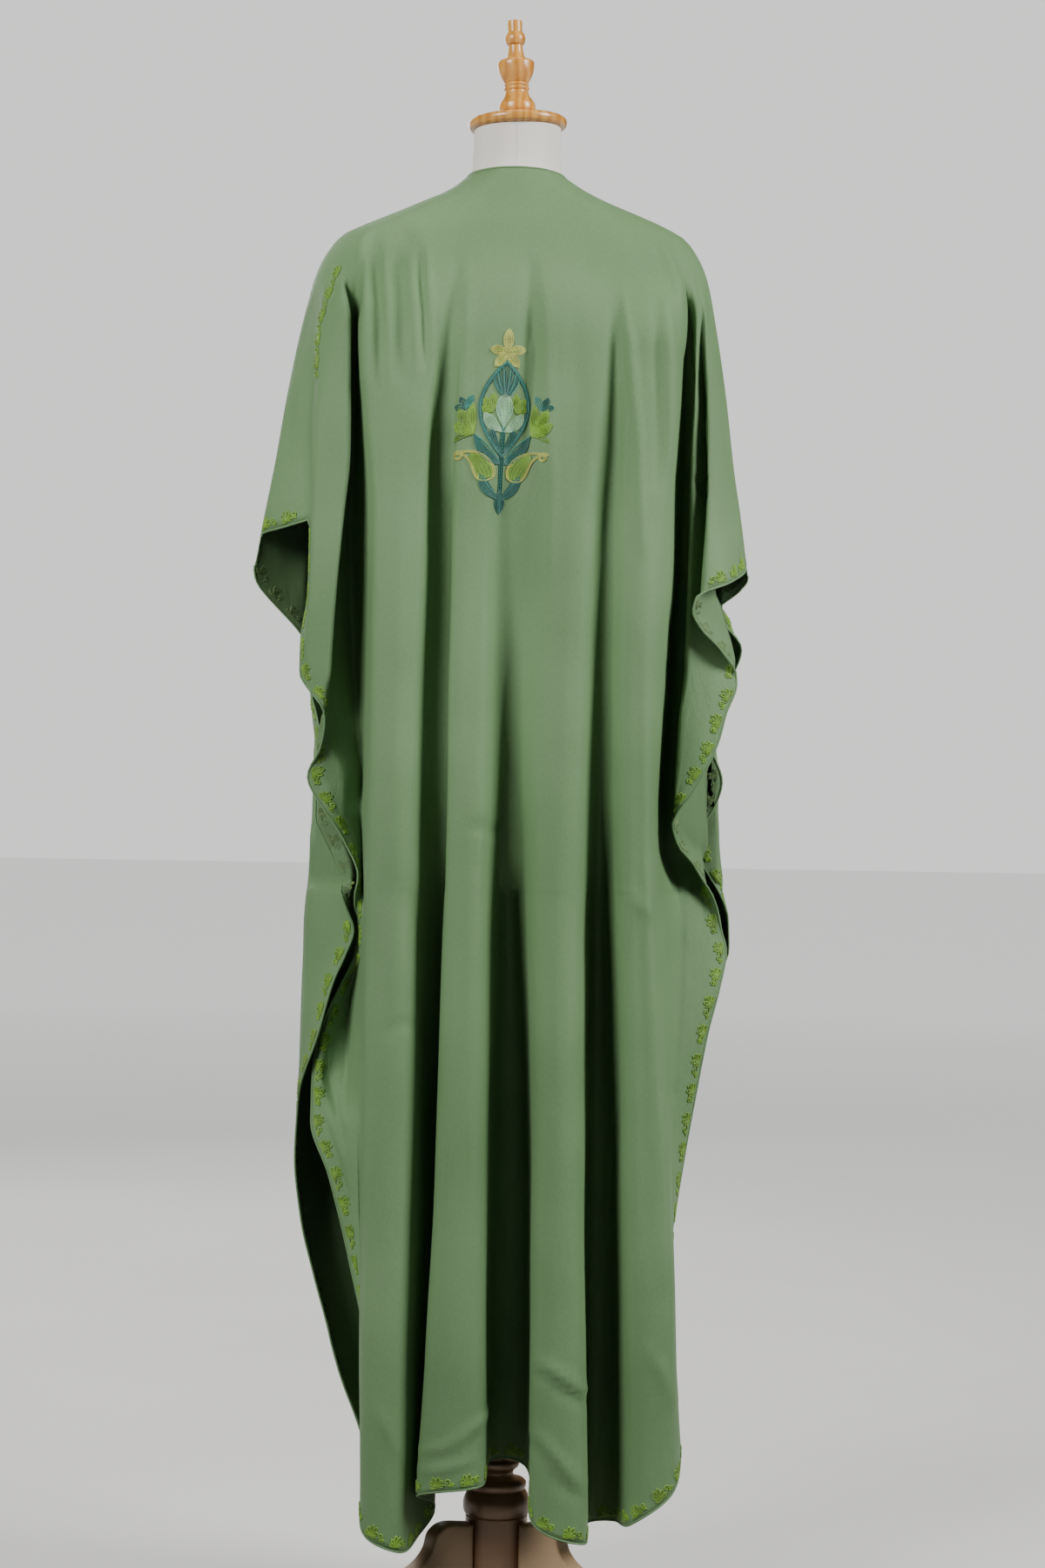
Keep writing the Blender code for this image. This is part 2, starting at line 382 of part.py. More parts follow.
# ---------------------------------------------------------------- one panel of cloth
class Panel:
    """A cloth panel as a grid: rows are sections, columns run from neck to hem."""

    def __init__(self, sign, span, folds, sleeves, wings, legs, cuffs, hem_sides, neck_dip):
        self.sign = sign                  # -1 for the back, +1 for the front
        self.span = span                  # columns between each pair of fold lines
        self.folds = folds
        self.sleeves = sleeves            # left, right
        self.wings = wings                # left, right
        self.legs = legs                  # columns along each leg of the wings' paths
        self.cuffs = cuffs                # for each side: level, lift at the tuck, at the fold
        self.hem_sides = hem_sides        # hem height at the left and right side edges
        self.neck_dip = neck_dip
        self.steps = ([1] * (SLEEVE_COLUMNS + WING_COLUMNS + 1) + list(span)
                      + [1] * (SLEEVE_COLUMNS + WING_COLUMNS + 1))
        self.columns = sum(self.steps) + 1

    def yoke_depth(self, x, z):
        """How far the rounded yoke stands from the shoulder seam, above x at height z."""
        left, right, back, front = follow([r[0] for r in RIDGE], [r[1:] for r in RIDGE], z)
        share = min(abs(x) / (left if x < 0 else right), 1.0)
        reach = (1.0 - share**YOKE_ROUND)**(1 / YOKE_ROUND)
        return max((back if self.sign < 0 else front) * reach, SEAM / 2)

    def yoke_point(self, share, z):
        """Point of the rounded yoke; share runs from -1 at the left ridge to 1."""
        widths = follow([r[0] for r in RIDGE], [r[1:3] for r in RIDGE], z)
        x = share * (widths[0] if share < 0 else widths[1])
        return x, self.sign * self.yoke_depth(x, z)

    def crest(self, z):
        level = CREST_BACK if self.sign < 0 else CREST_FRONT
        spread = self.sign * CREST_SPREAD * (1350 - z) / 1200
        _, _, back, front = follow([r[0] for r in RIDGE], [r[1:] for r in RIDGE], z)
        near = self.sign * (back if self.sign < 0 else front)
        return near + (level + spread - near) * fade(1400 - z, 0.0, 140.0)

    def fold_lines(self, z):
        points = []
        for _, x_at, drop_at, _ in self.folds:
            x = follow(FOLD_X_AT, x_at, z)
            drop = follow(FOLD_DROP_AT, drop_at, z)
            points.append((x, self.crest(z) - self.sign * drop))
        return np.array(points)

    def side_lines(self, side, z):
        sleeve, wing = self.sleeves[side], self.wings[side]
        level = max(z, sleeve[-1][0])
        paths = [spaced(path, 24) for _, path in sleeve]
        path = follow([row[0] for row in sleeve], paths, level)
        fold = np.array((path[-1][0], self.sign * SEAM / 2))
        turn = fold + np.array((0.0, self.sign * 6.0))
        rest = spaced(np.vstack((path[:-4], turn)), SLEEVE_COLUMNS)[::-1]
        outer = np.vstack((fold, rest[:-1]))
        paths = [spread(path, self.legs[side]) for _, path in wing]
        inner = follow([row[0] for row in wing], paths, z)
        if z < self.cuffs[side][0] - 0.01:
            # Below the cuff the cloth starts at the side edge, so nothing bends it there.
            outer = inner[0] + (inner[0] - inner[1]) * np.arange(SLEEVE_COLUMNS, 0, -1)[:, None]
        return np.vstack((outer, inner))

    def lines(self, z):
        """Control points of the section at height z, from left to right."""
        shaped = np.vstack((self.side_lines(0, max(min(z, YOKE_LEVEL), HEM_LEVEL)),
                            self.fold_lines(min(z, 1350.0)),
                            self.side_lines(1, max(min(z, YOKE_LEVEL), HEM_LEVEL))[::-1]))
        if z < 1350.0:
            return shaped
        folds = SLEEVE_COLUMNS + WING_COLUMNS + 1
        widths = follow([r[0] for r in RIDGE], [r[1:3] for r in RIDGE], min(z, YOKE_LEVEL))
        shares = shaped[:, 0] / np.where(shaped[:, 0] < 0, widths[0], widths[1])
        ends = [shares[folds], shares[-folds - 1]]
        for k in range(folds):
            s = k / folds
            shares[k] = -1 + (ends[0] + 1) * s
            shares[-1 - k] = 1 - (1 - ends[1]) * s
        smooth = np.array([self.yoke_point(min(max(s, -1.0), 1.0), z) for s in shares])
        lie = fade(z, 1380.0, YOKE_LEVEL + 12.0)
        middle = slice(folds, len(shares) - folds)
        shaped[middle, 0] *= 1.0
        soft = fade(z, 1350.0, YOKE_LEVEL)
        mix = np.full((len(shares), 1), lie)
        mix[middle] = soft
        return shaped * (1 - mix) + smooth * mix

    def hem_heights(self):
        side = SLEEVE_COLUMNS + WING_COLUMNS + 1
        left = np.linspace(self.hem_sides[0], self.folds[0][3], side + 1)[:-1]
        right = np.linspace(self.folds[-1][3], self.hem_sides[1], side + 1)[1:]
        heights = np.concatenate((left, [f[3] for f in self.folds], right))
        return spline(np.column_stack((heights, heights)), self.steps)[:, 0]

    def column_shares(self):
        """For each column: its place on a sleeve (0 at the tuck, 1 at the fold), if any."""
        count = self.columns
        shares = np.full((2, count), -1.0)
        for side in range(2):
            for k in range(SLEEVE_COLUMNS + 1):
                c = k if side == 0 else count - 1 - k
                shares[side, c] = 1 - k / SLEEVE_COLUMNS
        return shares

    def grid(self, levels):
        hems = self.hem_heights()
        shares = self.column_shares()
        count = self.columns
        centre = (count - 1) / 2
        rows = []
        for level in levels:
            section = spline(self.lines(level), self.steps)
            points = []
            for c, (x, y) in enumerate(section):
                z = level
                if level < HEM_BLEND:
                    s = (HEM_BLEND - level) / (HEM_BLEND - HEM_LEVEL)
                    z = HEM_BLEND - s * (HEM_BLEND - hems[c])
                for side, (cuff, at_tuck, at_fold) in enumerate(self.cuffs):
                    near = 1 - min(abs(level - cuff) / 110.0, 1.0)
                    share = shares[side, c]
                    if share >= 0:
                        z += near**2 * (at_tuck + (at_fold - at_tuck) * share)
                    else:
                        away = (c - SLEEVE_COLUMNS if side == 0
                                else count - 1 - SLEEVE_COLUMNS - c)
                        z += near**2 * at_tuck * max(1 - away / 6.0, 0.0)**2
                dip = max(1 - (abs(c - centre) / centre / 0.99)**2.2, 0.0)
                if level > 1350.0:
                    low = z - self.neck_dip * dip * fade(level, 1350.0, 1541.0)
                    y += self.sign * (self.yoke_depth(x, low) - self.yoke_depth(x, z))
                    z = low
                points.append((x, y, z))
            rows.append(points)
        return np.array(rows)


def back_panel():
    return Panel(-1, BACK_STEPS, BACK_FOLDS, (BACK_LEFT_SLEEVE, BACK_RIGHT_SLEEVE),
                 (BACK_LEFT_WING, BACK_RIGHT_WING), (LEFT_LEGS, RIGHT_LEGS),
                 ((1165.0, 9.0, -6.0), (1110.0, -8.0, 25.0)), (165.0, 215.0), -3.0)


def front_panel():
    return Panel(1, FRONT_STEPS, FRONT_FOLDS, (FRONT_LEFT_SLEEVE, FRONT_RIGHT_SLEEVE),
                 (FRONT_LEFT_WING, FRONT_RIGHT_WING), (FRONT_LEGS, FRONT_LEGS),
                 ((1092.0, -34.0, 36.0), (1110.0, -15.0, 15.0)), (160.0, 135.0), 84.0)


BACK_LEVELS = (1541, 1526, 1513, 1500, 1488, 1477, 1466, 1449, 1426, 1400, 1350, 1280,
               1165, 1110, 1085, 1060, 1042, 1029, 1021, 1009, 994, 978, 962, 930, 900, 886, 875,
               860, 838, 820, 800, 786, 774, 760, 727, 670, 600, 545, 480, 410, 330, 230, 120)
FRONT_LEVELS = (1541, 1526, 1513, 1500, 1488, 1477, 1466, 1449, 1426, 1400, 1340, 1250,
                1170, 1110, 1092, 1050, 1000, 950, 926, 900, 860, 820, 780, 740, 690,
                600, 560, 490, 400, 290, 120)


def cloth_object(name, panel, levels, material, slit=False):
    """Grid of the panel, its cuts taken away, thickened to a wall."""
    levels = sorted(set(float(v) for v in levels) | {panel.cuffs[0][0], panel.cuffs[1][0]},
                    reverse=True)
    grid = panel.grid(levels)
    rows, columns = grid.shape[:2]
    bm = bmesh.new()
    bmesh.ops.create_grid(bm, x_segments=columns - 1, y_segments=rows - 1, size=1.0)
    place = {}
    for v in bm.verts:
        c = round((v.co.x + 1) / 2 * (columns - 1))
        r = round((1 - v.co.y) / 2 * (rows - 1))
        place[v] = (r, c)
    cut = []
    for face in bm.faces:
        r = min(place[v][0] for v in face.verts)
        c = min(place[v][1] for v in face.verts)
        below = [levels[r] <= cuff[0] + 0.01 for cuff in panel.cuffs]
        off_left = below[0] and c < SLEEVE_COLUMNS
        off_right = below[1] and c >= columns - 1 - SLEEVE_COLUMNS
        in_slit = slit and levels[r + 1] > 1330 and c in slit_columns(panel)
        if off_left or off_right or in_slit:
            cut.append(face)
    for v, (r, c) in place.items():
        v.co = Vector(grid[r, c]) * MM
    bmesh.ops.delete(bm, geom=cut, context="FACES")
    bmesh.ops.triangulate(bm, faces=bm.faces, quad_method="SHORT_EDGE")
    bmesh.ops.recalc_face_normals(bm, faces=bm.faces)
    obj = mesh_object(name, bm, material)
    wall = obj.modifiers.new("wall", "SOLIDIFY")
    wall.thickness = CLOTH * MM
    wall.offset = 0.0
    wall.use_quality_normals = True
    return obj


def slit_columns(panel):
    names = [fold[0] for fold in panel.folds]
    first = sum(panel.steps[:SLEEVE_COLUMNS + WING_COLUMNS + 1 + names.index("slit, left")])
    return range(first, first + panel.span[names.index("slit, left")])


# ---------------------------------------------------------------- scene helpers
def collection_named(name):
    group = bpy.data.collections.new(name)
    bpy.context.scene.collection.children.link(group)
    return group


def material_named(name, kind):
    material = bpy.data.materials.new(name)
    material.use_nodes = True
    shader = material.node_tree.nodes["Principled BSDF"]
    shader.inputs["Base Color"].default_value = COLOURS[kind]
    shader.inputs["Roughness"].default_value = ROUGHNESS[kind]
    shader.inputs["Metallic"].default_value = 0.0
    material.diffuse_color = COLOURS[kind]
    return material


def mesh_object(name, bm, kind):
    mesh = bpy.data.meshes.new(name)
    bm.to_mesh(mesh)
    bm.free()
    mesh.shade_smooth()
    obj = bpy.data.objects.new(name, mesh)
    obj.data.materials.append(material_named(name + " finish", kind))
    GROUP.objects.link(obj)
    return obj


def turned(name, profile, kind, steps):
    """A turned piece: its profile spun about the Z axis, poles closed."""
    bm = bmesh.new()
    verts = [bm.verts.new((r * MM, 0.0, z * MM)) for r, z in profile]
    for a, b in zip(verts, verts[1:]):
        bm.edges.new((a, b))
    obj = mesh_object(name, bm, kind)
    screw = obj.modifiers.new("turn", "SCREW")
    screw.steps = steps
    screw.render_steps = steps
    screw.use_merge_vertices = True
    screw.merge_threshold = 0.00005
    screw.use_smooth_shade = True
    return obj


def loft(name, rings, kind):
    """Closed solid through rings of equal count, both ends filled."""
    bm = bmesh.new()
    loops = [[bm.verts.new(Vector(p) * MM) for p in ring] for ring in rings]
    for upper, lower in zip(loops, loops[1:]):
        for k, corner in enumerate(upper):
            bm.faces.new((corner, upper[k - 1], lower[k - 1], lower[k]))
    for loop in (loops[0], loops[-1]):
        bm.faces.new(loop)
    bmesh.ops.recalc_face_normals(bm, faces=bm.faces)
    return mesh_object(name, bm, kind)


# ---------------------------------------------------------------- the pieces
def form_sections():
    """Neck, then the shoulders a little under the yoke, then the body."""
    heights = [row[0] for row in RIDGE]
    yoke = []
    for z, left, right, back, front in RIDGE[:8]:
        left, right, back, front = follow(heights, [row[1:] for row in RIDGE], z)
        inner = (min(left, right) - FORM_EASE, back - FORM_EASE, front - FORM_EASE)
        yoke.append((z - FORM_EASE, *inner))
    return FORM_NECK + tuple(yoke) + FORM_BODY


def build_form():
    """Linen-covered torso with its neck, smooth and limbless."""
    count = 32
    rings = []
    for z, half, back, front in form_sections():
        ring = []
        lean = fade(z, 1541.0, NECK_TOP)
        for k in range(count):
            a = 2 * math.pi * k / count
            c, s = math.cos(a), math.sin(a)
            power = 2 / FORM_ROUND
            x = half * math.copysign(abs(c)**power, c)
            y = (front if s > 0 else back) * math.copysign(abs(s)**power, s)
            ring.append((x, y, z + lean * x * math.tan(NECK_TILT)))
        rings.append(ring)
    return loft("dress_form", rings, "linen")


def build_cap_and_finial():
    tilt = Matrix.Translation(Vector((0, 0, NECK_TOP * MM))) @ Matrix.Rotation(-NECK_TILT, 4, "Y")
    cap = turned("neck_cap", CAP_PROFILE, "light wood", 24)
    cap.matrix_world = tilt
    finial = turned("finial", FINIAL_PROFILE, "light wood", 12)
    finial.matrix_world = tilt
    return cap, finial


def build_stand():
    post = turned("post", ((0.0, FORM_BOTTOM - 0.3), (POST_RADIUS, FORM_BOTTOM - 0.3),
                           (POST_RADIUS, POST_BOTTOM), (0.0, POST_BOTTOM)), "dark wood", 16)
    hub = turned("hub", HUB_PROFILE, "dark wood", 16)
    legs = []
    for number, angle in enumerate(LEG_ANGLES, start=1):
        bm = bmesh.new()
        verts = [bm.verts.new((r * MM, -LEG_THICK / 2 * MM, z * MM)) for r, z in LEG_OUTLINE]
        face = bm.faces.new(verts)
        grown = bmesh.ops.extrude_face_region(bm, geom=[face])
        moved = [g for g in grown["geom"] if isinstance(g, bmesh.types.BMVert)]
        bmesh.ops.translate(bm, verts=moved, vec=(0, LEG_THICK * MM, 0))
        bmesh.ops.recalc_face_normals(bm, faces=bm.faces)
        leg = mesh_object(f"leg_{number}", bm, "leg wood")
        leg.rotation_euler[2] = math.radians(angle)
        leg.data.set_sharp_from_angle(angle=math.radians(35))
        edge = leg.modifiers.new("eased edges", "BEVEL")
        edge.width = 2.0 * MM
        edge.segments = 1
        edge.limit_method = "ANGLE"
        legs.append(leg)
    return post, hub, legs


def clear_scene():
    for obj in list(bpy.data.objects):
        bpy.data.objects.remove(obj, do_unlink=True)


clear_scene()
GROUP = collection_named("kaftan on a dress form")
BACK, FRONT = back_panel(), front_panel()
build_form()
build_cap_and_finial()
build_stand()
cloth_object("back_panel", BACK, BACK_LEVELS, "cloth")
cloth_object("front_panel", FRONT, FRONT_LEVELS, "cloth", slit=True)
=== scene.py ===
"""Embroidered kaftan on a dress form: cloth, hems, thread work, form, stand and studio.

The sizes in the tables are millimetres; everything is placed in metres, +Z up, with the
garment's back towards -Y. The two panels are fine grids through level sections: the middle
of a section is drawn through fold lines and each side through a short path.
"""
import math

import bmesh
import bpy
import numpy as np
from bpy.props import FloatProperty, FloatVectorProperty, PointerProperty
from mathutils import Matrix, Vector
from mathutils.bvhtree import BVHTree


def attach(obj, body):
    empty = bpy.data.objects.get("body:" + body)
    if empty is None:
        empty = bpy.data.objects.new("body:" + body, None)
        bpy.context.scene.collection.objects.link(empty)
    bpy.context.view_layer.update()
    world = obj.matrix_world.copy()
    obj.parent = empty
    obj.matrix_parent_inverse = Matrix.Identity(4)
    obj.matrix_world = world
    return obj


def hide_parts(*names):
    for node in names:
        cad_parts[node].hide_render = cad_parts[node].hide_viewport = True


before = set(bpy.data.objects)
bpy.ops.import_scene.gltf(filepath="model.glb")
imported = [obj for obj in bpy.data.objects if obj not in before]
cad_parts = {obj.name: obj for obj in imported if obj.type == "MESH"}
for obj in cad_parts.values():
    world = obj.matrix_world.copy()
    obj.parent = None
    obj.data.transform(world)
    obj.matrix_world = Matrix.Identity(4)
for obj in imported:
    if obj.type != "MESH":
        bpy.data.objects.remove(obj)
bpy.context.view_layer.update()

bl_info = {
    "name": "Embroidered kaftan on a dress form",
    "version": (1, 0, 0),
    "blender": (4, 5, 0),
    "location": "View3D > Sidebar > Kaftan",
    "description": "Builds a draped kaftan with chain-stitch embroidery, its form and stand",
    "category": "Add Mesh",
}

MM = 0.001

# ---------------------------------------------------------------- driving dimensions (mm)
SEAM = 0.9                  # between the two panels along the shoulder seams
CREST_BACK = -121.0         # y of the back panel's fold crests
CREST_FRONT = 134.0         # y of the front panel's fold crests
CREST_SPREAD = 4.0          # how much further out the crests hang at the hem
HEM_LEVEL = 120.0           # height of the lowest section
HEM_BLEND = 300.0           # below this height the sections tilt to follow the hem
YOKE_LEVEL = 1440.0         # above this height the cloth lies smooth on the shoulders
FOLD_TOP = 1350.0           # below this height the sections are folds alone
SLIT_FOOT = 1330.0          # foot of the front neck slit
CUFF_REACH = 110.0          # how far above and below a cuff its lift is felt
FORM_GAP = 2.0              # least space between the cloth and the form
FORM_FREE = -1000.0         # no limit: the cloth hangs clear of the form here
STITCH_LIFT = 0.35          # how far a row of thread stands off the cloth's face
REVERSE_LIFT = 0.15         # the same on the cloth's reverse
SLEEVE_COLUMNS = 4          # columns from the sleeve's fold to its tuck
WING_COLUMNS = 11           # columns from the tuck, or the side edge, to the channel

NECK_TILT = math.radians(2.4)   # the neck's top leans a little to the wearer's left
NECK_TOP = 1594.0

# ---------------------------------------------------------------- shoulder and sleeve top
# Height, and the half widths of the cloth there, from the neck over the shoulders and
# down the folded tops of the sleeves; then how far back and front the yoke stands.
RIDGE = (  # z, left, right, back, front
    (1541, 53, 52, 58, 62),
    (1526, 73, 76, 63, 68),
    (1513, 103, 103, 68, 74),
    (1500, 134, 136, 73, 80),
    (1488, 163, 163, 79, 86),
    (1477, 186, 181, 84, 92),
    (1466, 196, 190, 89, 97),
    (1449, 206, 199, 96, 103),
    (1426, 215, 206, 103, 110),
    (1400, 221, 211, 109, 117),
    (1350, 231, 219, 116, 126),
)
YOKE_ROUND = 2.3            # exponent of the yoke's rounded plan

# ---------------------------------------------------------------- fold lines of the middle
# x at five heights on the back and three on the front, and how far the line lies behind
# the crests at six heights.
FOLD_X_AT = {5: (1350, 1150, 900, 500, 150), 3: (1350, 900, 150)}
FOLD_DROP_AT = (1350, 1150, 900, 700, 400, 150)
BACK_FOLDS = (  # name, x at FOLD_X_AT, drop at FOLD_DROP_AT, hem height
    ("left flank", (-160, -145, -147, -146, -140), (18, 36, 48, 48, 38, 28), 150),
    ("first lobe, left", (-138, -134, -137, -137, -132), (6, 7, 8, 9, 8, 6), 124),
    ("first lobe, right", (-88, -93, -98, -97, -97), (0, 0, 0, 2, 4, 5), 109),
    ("first valley, left", (-78, -82, -82, -81, -82), (8, 28, 38, 58, 70, 60), 110),
    ("first valley, right", (-56, -63, -61, -61, -64), (8, 34, 42, 80, 96, 84), 140),
    ("second lobe, left", (-47, -56, -59, -66, -80), (3, 4, 5, 5, 6, 6), 176),
    ("second lobe, right", (0, -27, -25, -19, -16), (0, 0, 0, 0, 1, 2), 180),
    ("middle valley, left", (13, -9, -5, -9, -8), (7, 17, 42, 80, 98, 86), 192),
    ("middle valley, right", (29, 16, 9, 27, 33), (7, 17, 42, 80, 98, 86), 190),
    ("third lobe, left", (40, 46, 32, 36, 37), (3, 5, 8, 7, 6, 5), 138),
    ("third lobe, right", (88, 75, 73, 81, 91), (0, 0, 0, 0, 1, 2), 120),
    ("third valley, left", (104, 94, 90, 90, 93), (7, 20, 36, 76, 92, 82), 126),
    ("third valley, right", (112, 105, 103, 117, 125), (7, 20, 36, 72, 88, 78), 130),
    ("fourth lobe, left", (121, 119, 118, 129, 138), (3, 5, 7, 12, 15, 14), 136),
    ("fourth lobe, right", (158, 144, 142, 166, 180), (1, 1, 1, 4, 8, 10), 176),
    ("right flank", (172, 165, 153, 176, 189), (18, 26, 34, 30, 32, 40), 205),
)
FRONT_FOLDS = (
    ("left flank", (-156, -150, -140), (30, 34, 32, 34, 34, 36), 150),
    ("first lobe, left", (-134, -134, -128), (12, 10, 8, 8, 8, 8), 138),
    ("first lobe, right", (-98, -100, -96), (6, 2, 0, 2, 2, 3), 142),
    ("first valley, left", (-84, -86, -82), (8, 18, 30, 74, 98, 92), 150),
    ("first valley, right", (-70, -72, -68), (8, 18, 30, 76, 100, 94), 158),
    ("second lobe, left", (-56, -58, -56), (3, 1, 1, 2, 3, 4), 160),
    ("second lobe, right", (-24, -26, -22), (2, 0, 0, 0, 0, 0), 162),
    ("slit, left", (-4, -12, -14), (4, 8, 24, 66, 90, 88), 166),
    ("slit, right", (4, 8, 14), (4, 8, 24, 66, 92, 90), 166),
    ("third lobe, left", (24, 28, 26), (2, 0, 0, 0, 1, 1), 162),
    ("third lobe, right", (60, 62, 60), (3, 1, 1, 2, 3, 4), 158),
    ("third valley, left", (74, 76, 76), (8, 16, 28, 72, 96, 90), 152),
    ("third valley, right", (88, 90, 92), (8, 16, 28, 72, 98, 92), 150),
    ("fourth lobe, left", (102, 104, 108), (6, 3, 1, 3, 4, 5), 146),
    ("fourth lobe, right", (138, 140, 150), (12, 9, 7, 7, 8, 9), 140),
    ("right flank", (158, 160, 172), (30, 33, 30, 32, 36, 40), 150),
)

# ---------------------------------------------------------------- sides of the panels
# Sleeve: the path from the tuck, or fold, beside the body out to the sleeve's folded top.
# Wing: the path from that tuck, or below the cuff from the side edge, in to the channel.
# Each row is a height, then x and y of each point of the path.
BACK_LEFT_SLEEVE = (  # z, path
    (1440, -196, -36, -203, -20, -208, 0),
    (1400, -206, -44, -212, -26, -221, 0),
    (1313, -211, -40, -226, -28, -239, 0),
    (1240, -212, -36, -234, -28, -251, 0),
    (1165, -212, -36, -240, -26, -265, 0),
)
BACK_LEFT_WING = (  # z, tuck or side edge, two folds back and forth, channel
    (1440, -196, -36, -190, -46, -180, -57, -170, -66, -160, -74),
    (1400, -206, -44, -200, -74, -169, -90, -176, -62, -165, -56),
    (1313, -211, -40, -204, -80, -166, -98, -178, -58, -166, -34),
    (1240, -212, -36, -205, -84, -166, -101, -180, -58, -167, -24),
    (1165, -212, -36, -206, -84, -172, -101, -186, -57, -168, -20),
    (1100, -212, -46, -207, -84, -178, -99, -192, -56, -165, -22),
    (1045, -217, -60, -210, -84, -182, -97, -190, -62, -163, -26),
    (1012, -217, -73, -206, -85, -184, -94, -188, -68, -161, -30),
    (992, -205, -84, -198, -86, -189, -88, -186, -70, -159, -32),
    (978, -194, -88, -191, -87, -190, -82, -188, -70, -158, -34),
    (962, -190, -86, -193, -82, -195, -77, -190, -69, -157, -36),
    (935, -194, -79, -197, -75, -199, -72, -184, -66, -155, -26),
    (905, -208, -67, -202, -68, -190, -68, -170, -62, -153, -22),
    (870, -190, -67, -185, -66, -180, -65, -171, -60, -153, -38),
    (840, -170, -67, -168, -63, -164, -58, -159, -50, -152, -30),
    (800, -153, -71, -153, -66, -152, -60, -151, -52, -149, -42),
    (784, -156, -71, -155, -67, -153, -63, -151, -58, -147, -54),
    (772, -157, -66, -155, -65, -152, -64, -149, -64, -145, -65),
    (757, -154, -54, -152, -59, -150, -64, -148, -69, -145, -75),
    (720, -157, -46, -154, -50, -152, -54, -150, -59, -148, -65),
    (690, -171, -40, -169, -34, -164, -24, -158, -26, -152, -52),
    (650, -188, -36, -184, -38, -176, -26, -164, -14, -152, -52),
    (600, -200, -32, -192, -38, -180, -28, -165, -24, -151, -62),
    (568, -201, -36, -191, -43, -178, -42, -164, -48, -150, -70),
    (545, -201, -44, -188, -53, -173, -62, -161, -69, -149, -76),
    (490, -180, -64, -172, -69, -163, -73, -156, -76, -148, -80),
    (440, -165, -74, -160, -76, -155, -79, -151, -81, -146, -84),
    (380, -150, -82, -148, -84, -146, -85, -144, -87, -143, -88),
    (330, -139, -78, -140, -81, -140, -84, -140, -87, -139, -90),
    (260, -131, -58, -133, -64, -135, -71, -137, -77, -137, -84),
    (120, -130, -56, -133, -62, -135, -69, -137, -75, -137, -82),
)
LEFT_LEGS = (2, 3, 3, 3)    # columns from each of these points to the next
BACK_RIGHT_SLEEVE = (
    (1440, 190, -38, 198, -20, 203, 0),
    (1400, 199, -58, 207, -34, 211, 0),
    (1313, 201, -62, 217, -42, 225, 0),
    (1240, 201, -66, 224, -42, 234, 0),
    (1180, 200, -70, 230, -42, 243, 0),
    (1110, 195, -76, 224, -66, 249, 0),
)
BACK_RIGHT_WING = (
    (1440, 190, -38, 186, -46, 181, -54, 176, -62, 170, -70),
    (1400, 199, -58, 195, -57, 189, -61, 184, -54, 180, -48),
    (1350, 200, -60, 198, -47, 189, -61, 190, -37, 181, -35),
    (1300, 201, -62, 206, -38, 188, -60, 200, -24, 183, -22),
    (1240, 201, -66, 214, -29, 186, -59, 206, -12, 182, -14),
    (1180, 200, -70, 218, -26, 186, -58, 209, -9, 181, -10),
    (1110, 195, -76, 217, -26, 185, -57, 212, -8, 180, -6),
    (1088, 190, -74, 226, -26, 184, -56, 212, -7, 178, -5),
    (1065, 201, -70, 232, -27, 183, -57, 212, -6, 176, -4),
    (1050, 216, -61, 236, -30, 182, -59, 212, -5, 175, -3),
    (1035, 228, -52, 238, -32, 181, -60, 212, -4, 174, -2),
    (1028, 234, -44, 237, -34, 181, -60, 212, -3, 173, -1),
    (1021, 238, -38, 235, -37, 181, -60, 212, -2, 173, 0),
    (1008, 239, -39, 229, -43, 180, -60, 212, -2, 173, 0),
    (977, 228, -46, 208, -54, 177, -61, 212, 0, 171, 2),
    (950, 221, -51, 200, -58, 176, -62, 212, 1, 170, 4),
    (925, 211, -56, 195, -60, 175, -63, 212, 2, 169, 5),
    (900, 197, -60, 186, -63, 174, -64, 212, 2, 168, 5),
    (886, 188, -63, 181, -65, 174, -63, 212, 2, 167, 5),
    (876, 179, -65, 175, -64, 175, -59, 212, 2, 167, 4),
    (862, 172, -64, 175, -57, 182, -45, 213, 2, 167, 2),
    (838, 179, -50, 185, -37, 194, -20, 214, 2, 167, 0),
    (820, 195, -36, 202, -21, 209, -7, 206, 0, 169, -6),
    (802, 207, -26, 211, -15, 210, -7, 202, -6, 173, -16),
    (786, 218, -21, 214, -14, 207, -12, 198, -15, 177, -26),
    (766, 225, -18, 218, -15, 209, -17, 199, -23, 179, -36),
    (750, 228, -18, 218, -20, 207, -26, 197, -34, 180, -44),
    (727, 234, -20, 220, -27, 208, -33, 196, -40, 180, -52),
    (690, 227, -32, 216, -38, 205, -44, 194, -50, 180, -60),
    (640, 214, -42, 206, -48, 198, -54, 190, -60, 179, -68),
    (560, 199, -52, 194, -58, 188, -64, 183, -70, 177, -78),
    (480, 186, -60, 184, -67, 182, -74, 180, -80, 176, -88),
    (430, 178, -60, 179, -67, 179, -74, 179, -82, 177, -90),
    (380, 168, -56, 172, -62, 176, -70, 179, -78, 179, -86),
    (120, 172, -52, 177, -58, 182, -66, 186, -73, 188, -80),
)
RIGHT_LEGS = (3, 3, 3, 2)
FRONT_LEFT_SLEEVE = (
    (1440, -192, 42, -202, 22, -208, 0),
    (1400, -204, 48, -213, 28, -221, 0),
    (1313, -210, 46, -227, 30, -239, 0),
    (1240, -214, 44, -236, 30, -251, 0),
    (1165, -218, 42, -244, 30, -265, 0),
    (1092, -222, 38, -250, 24, -273, 0),
)
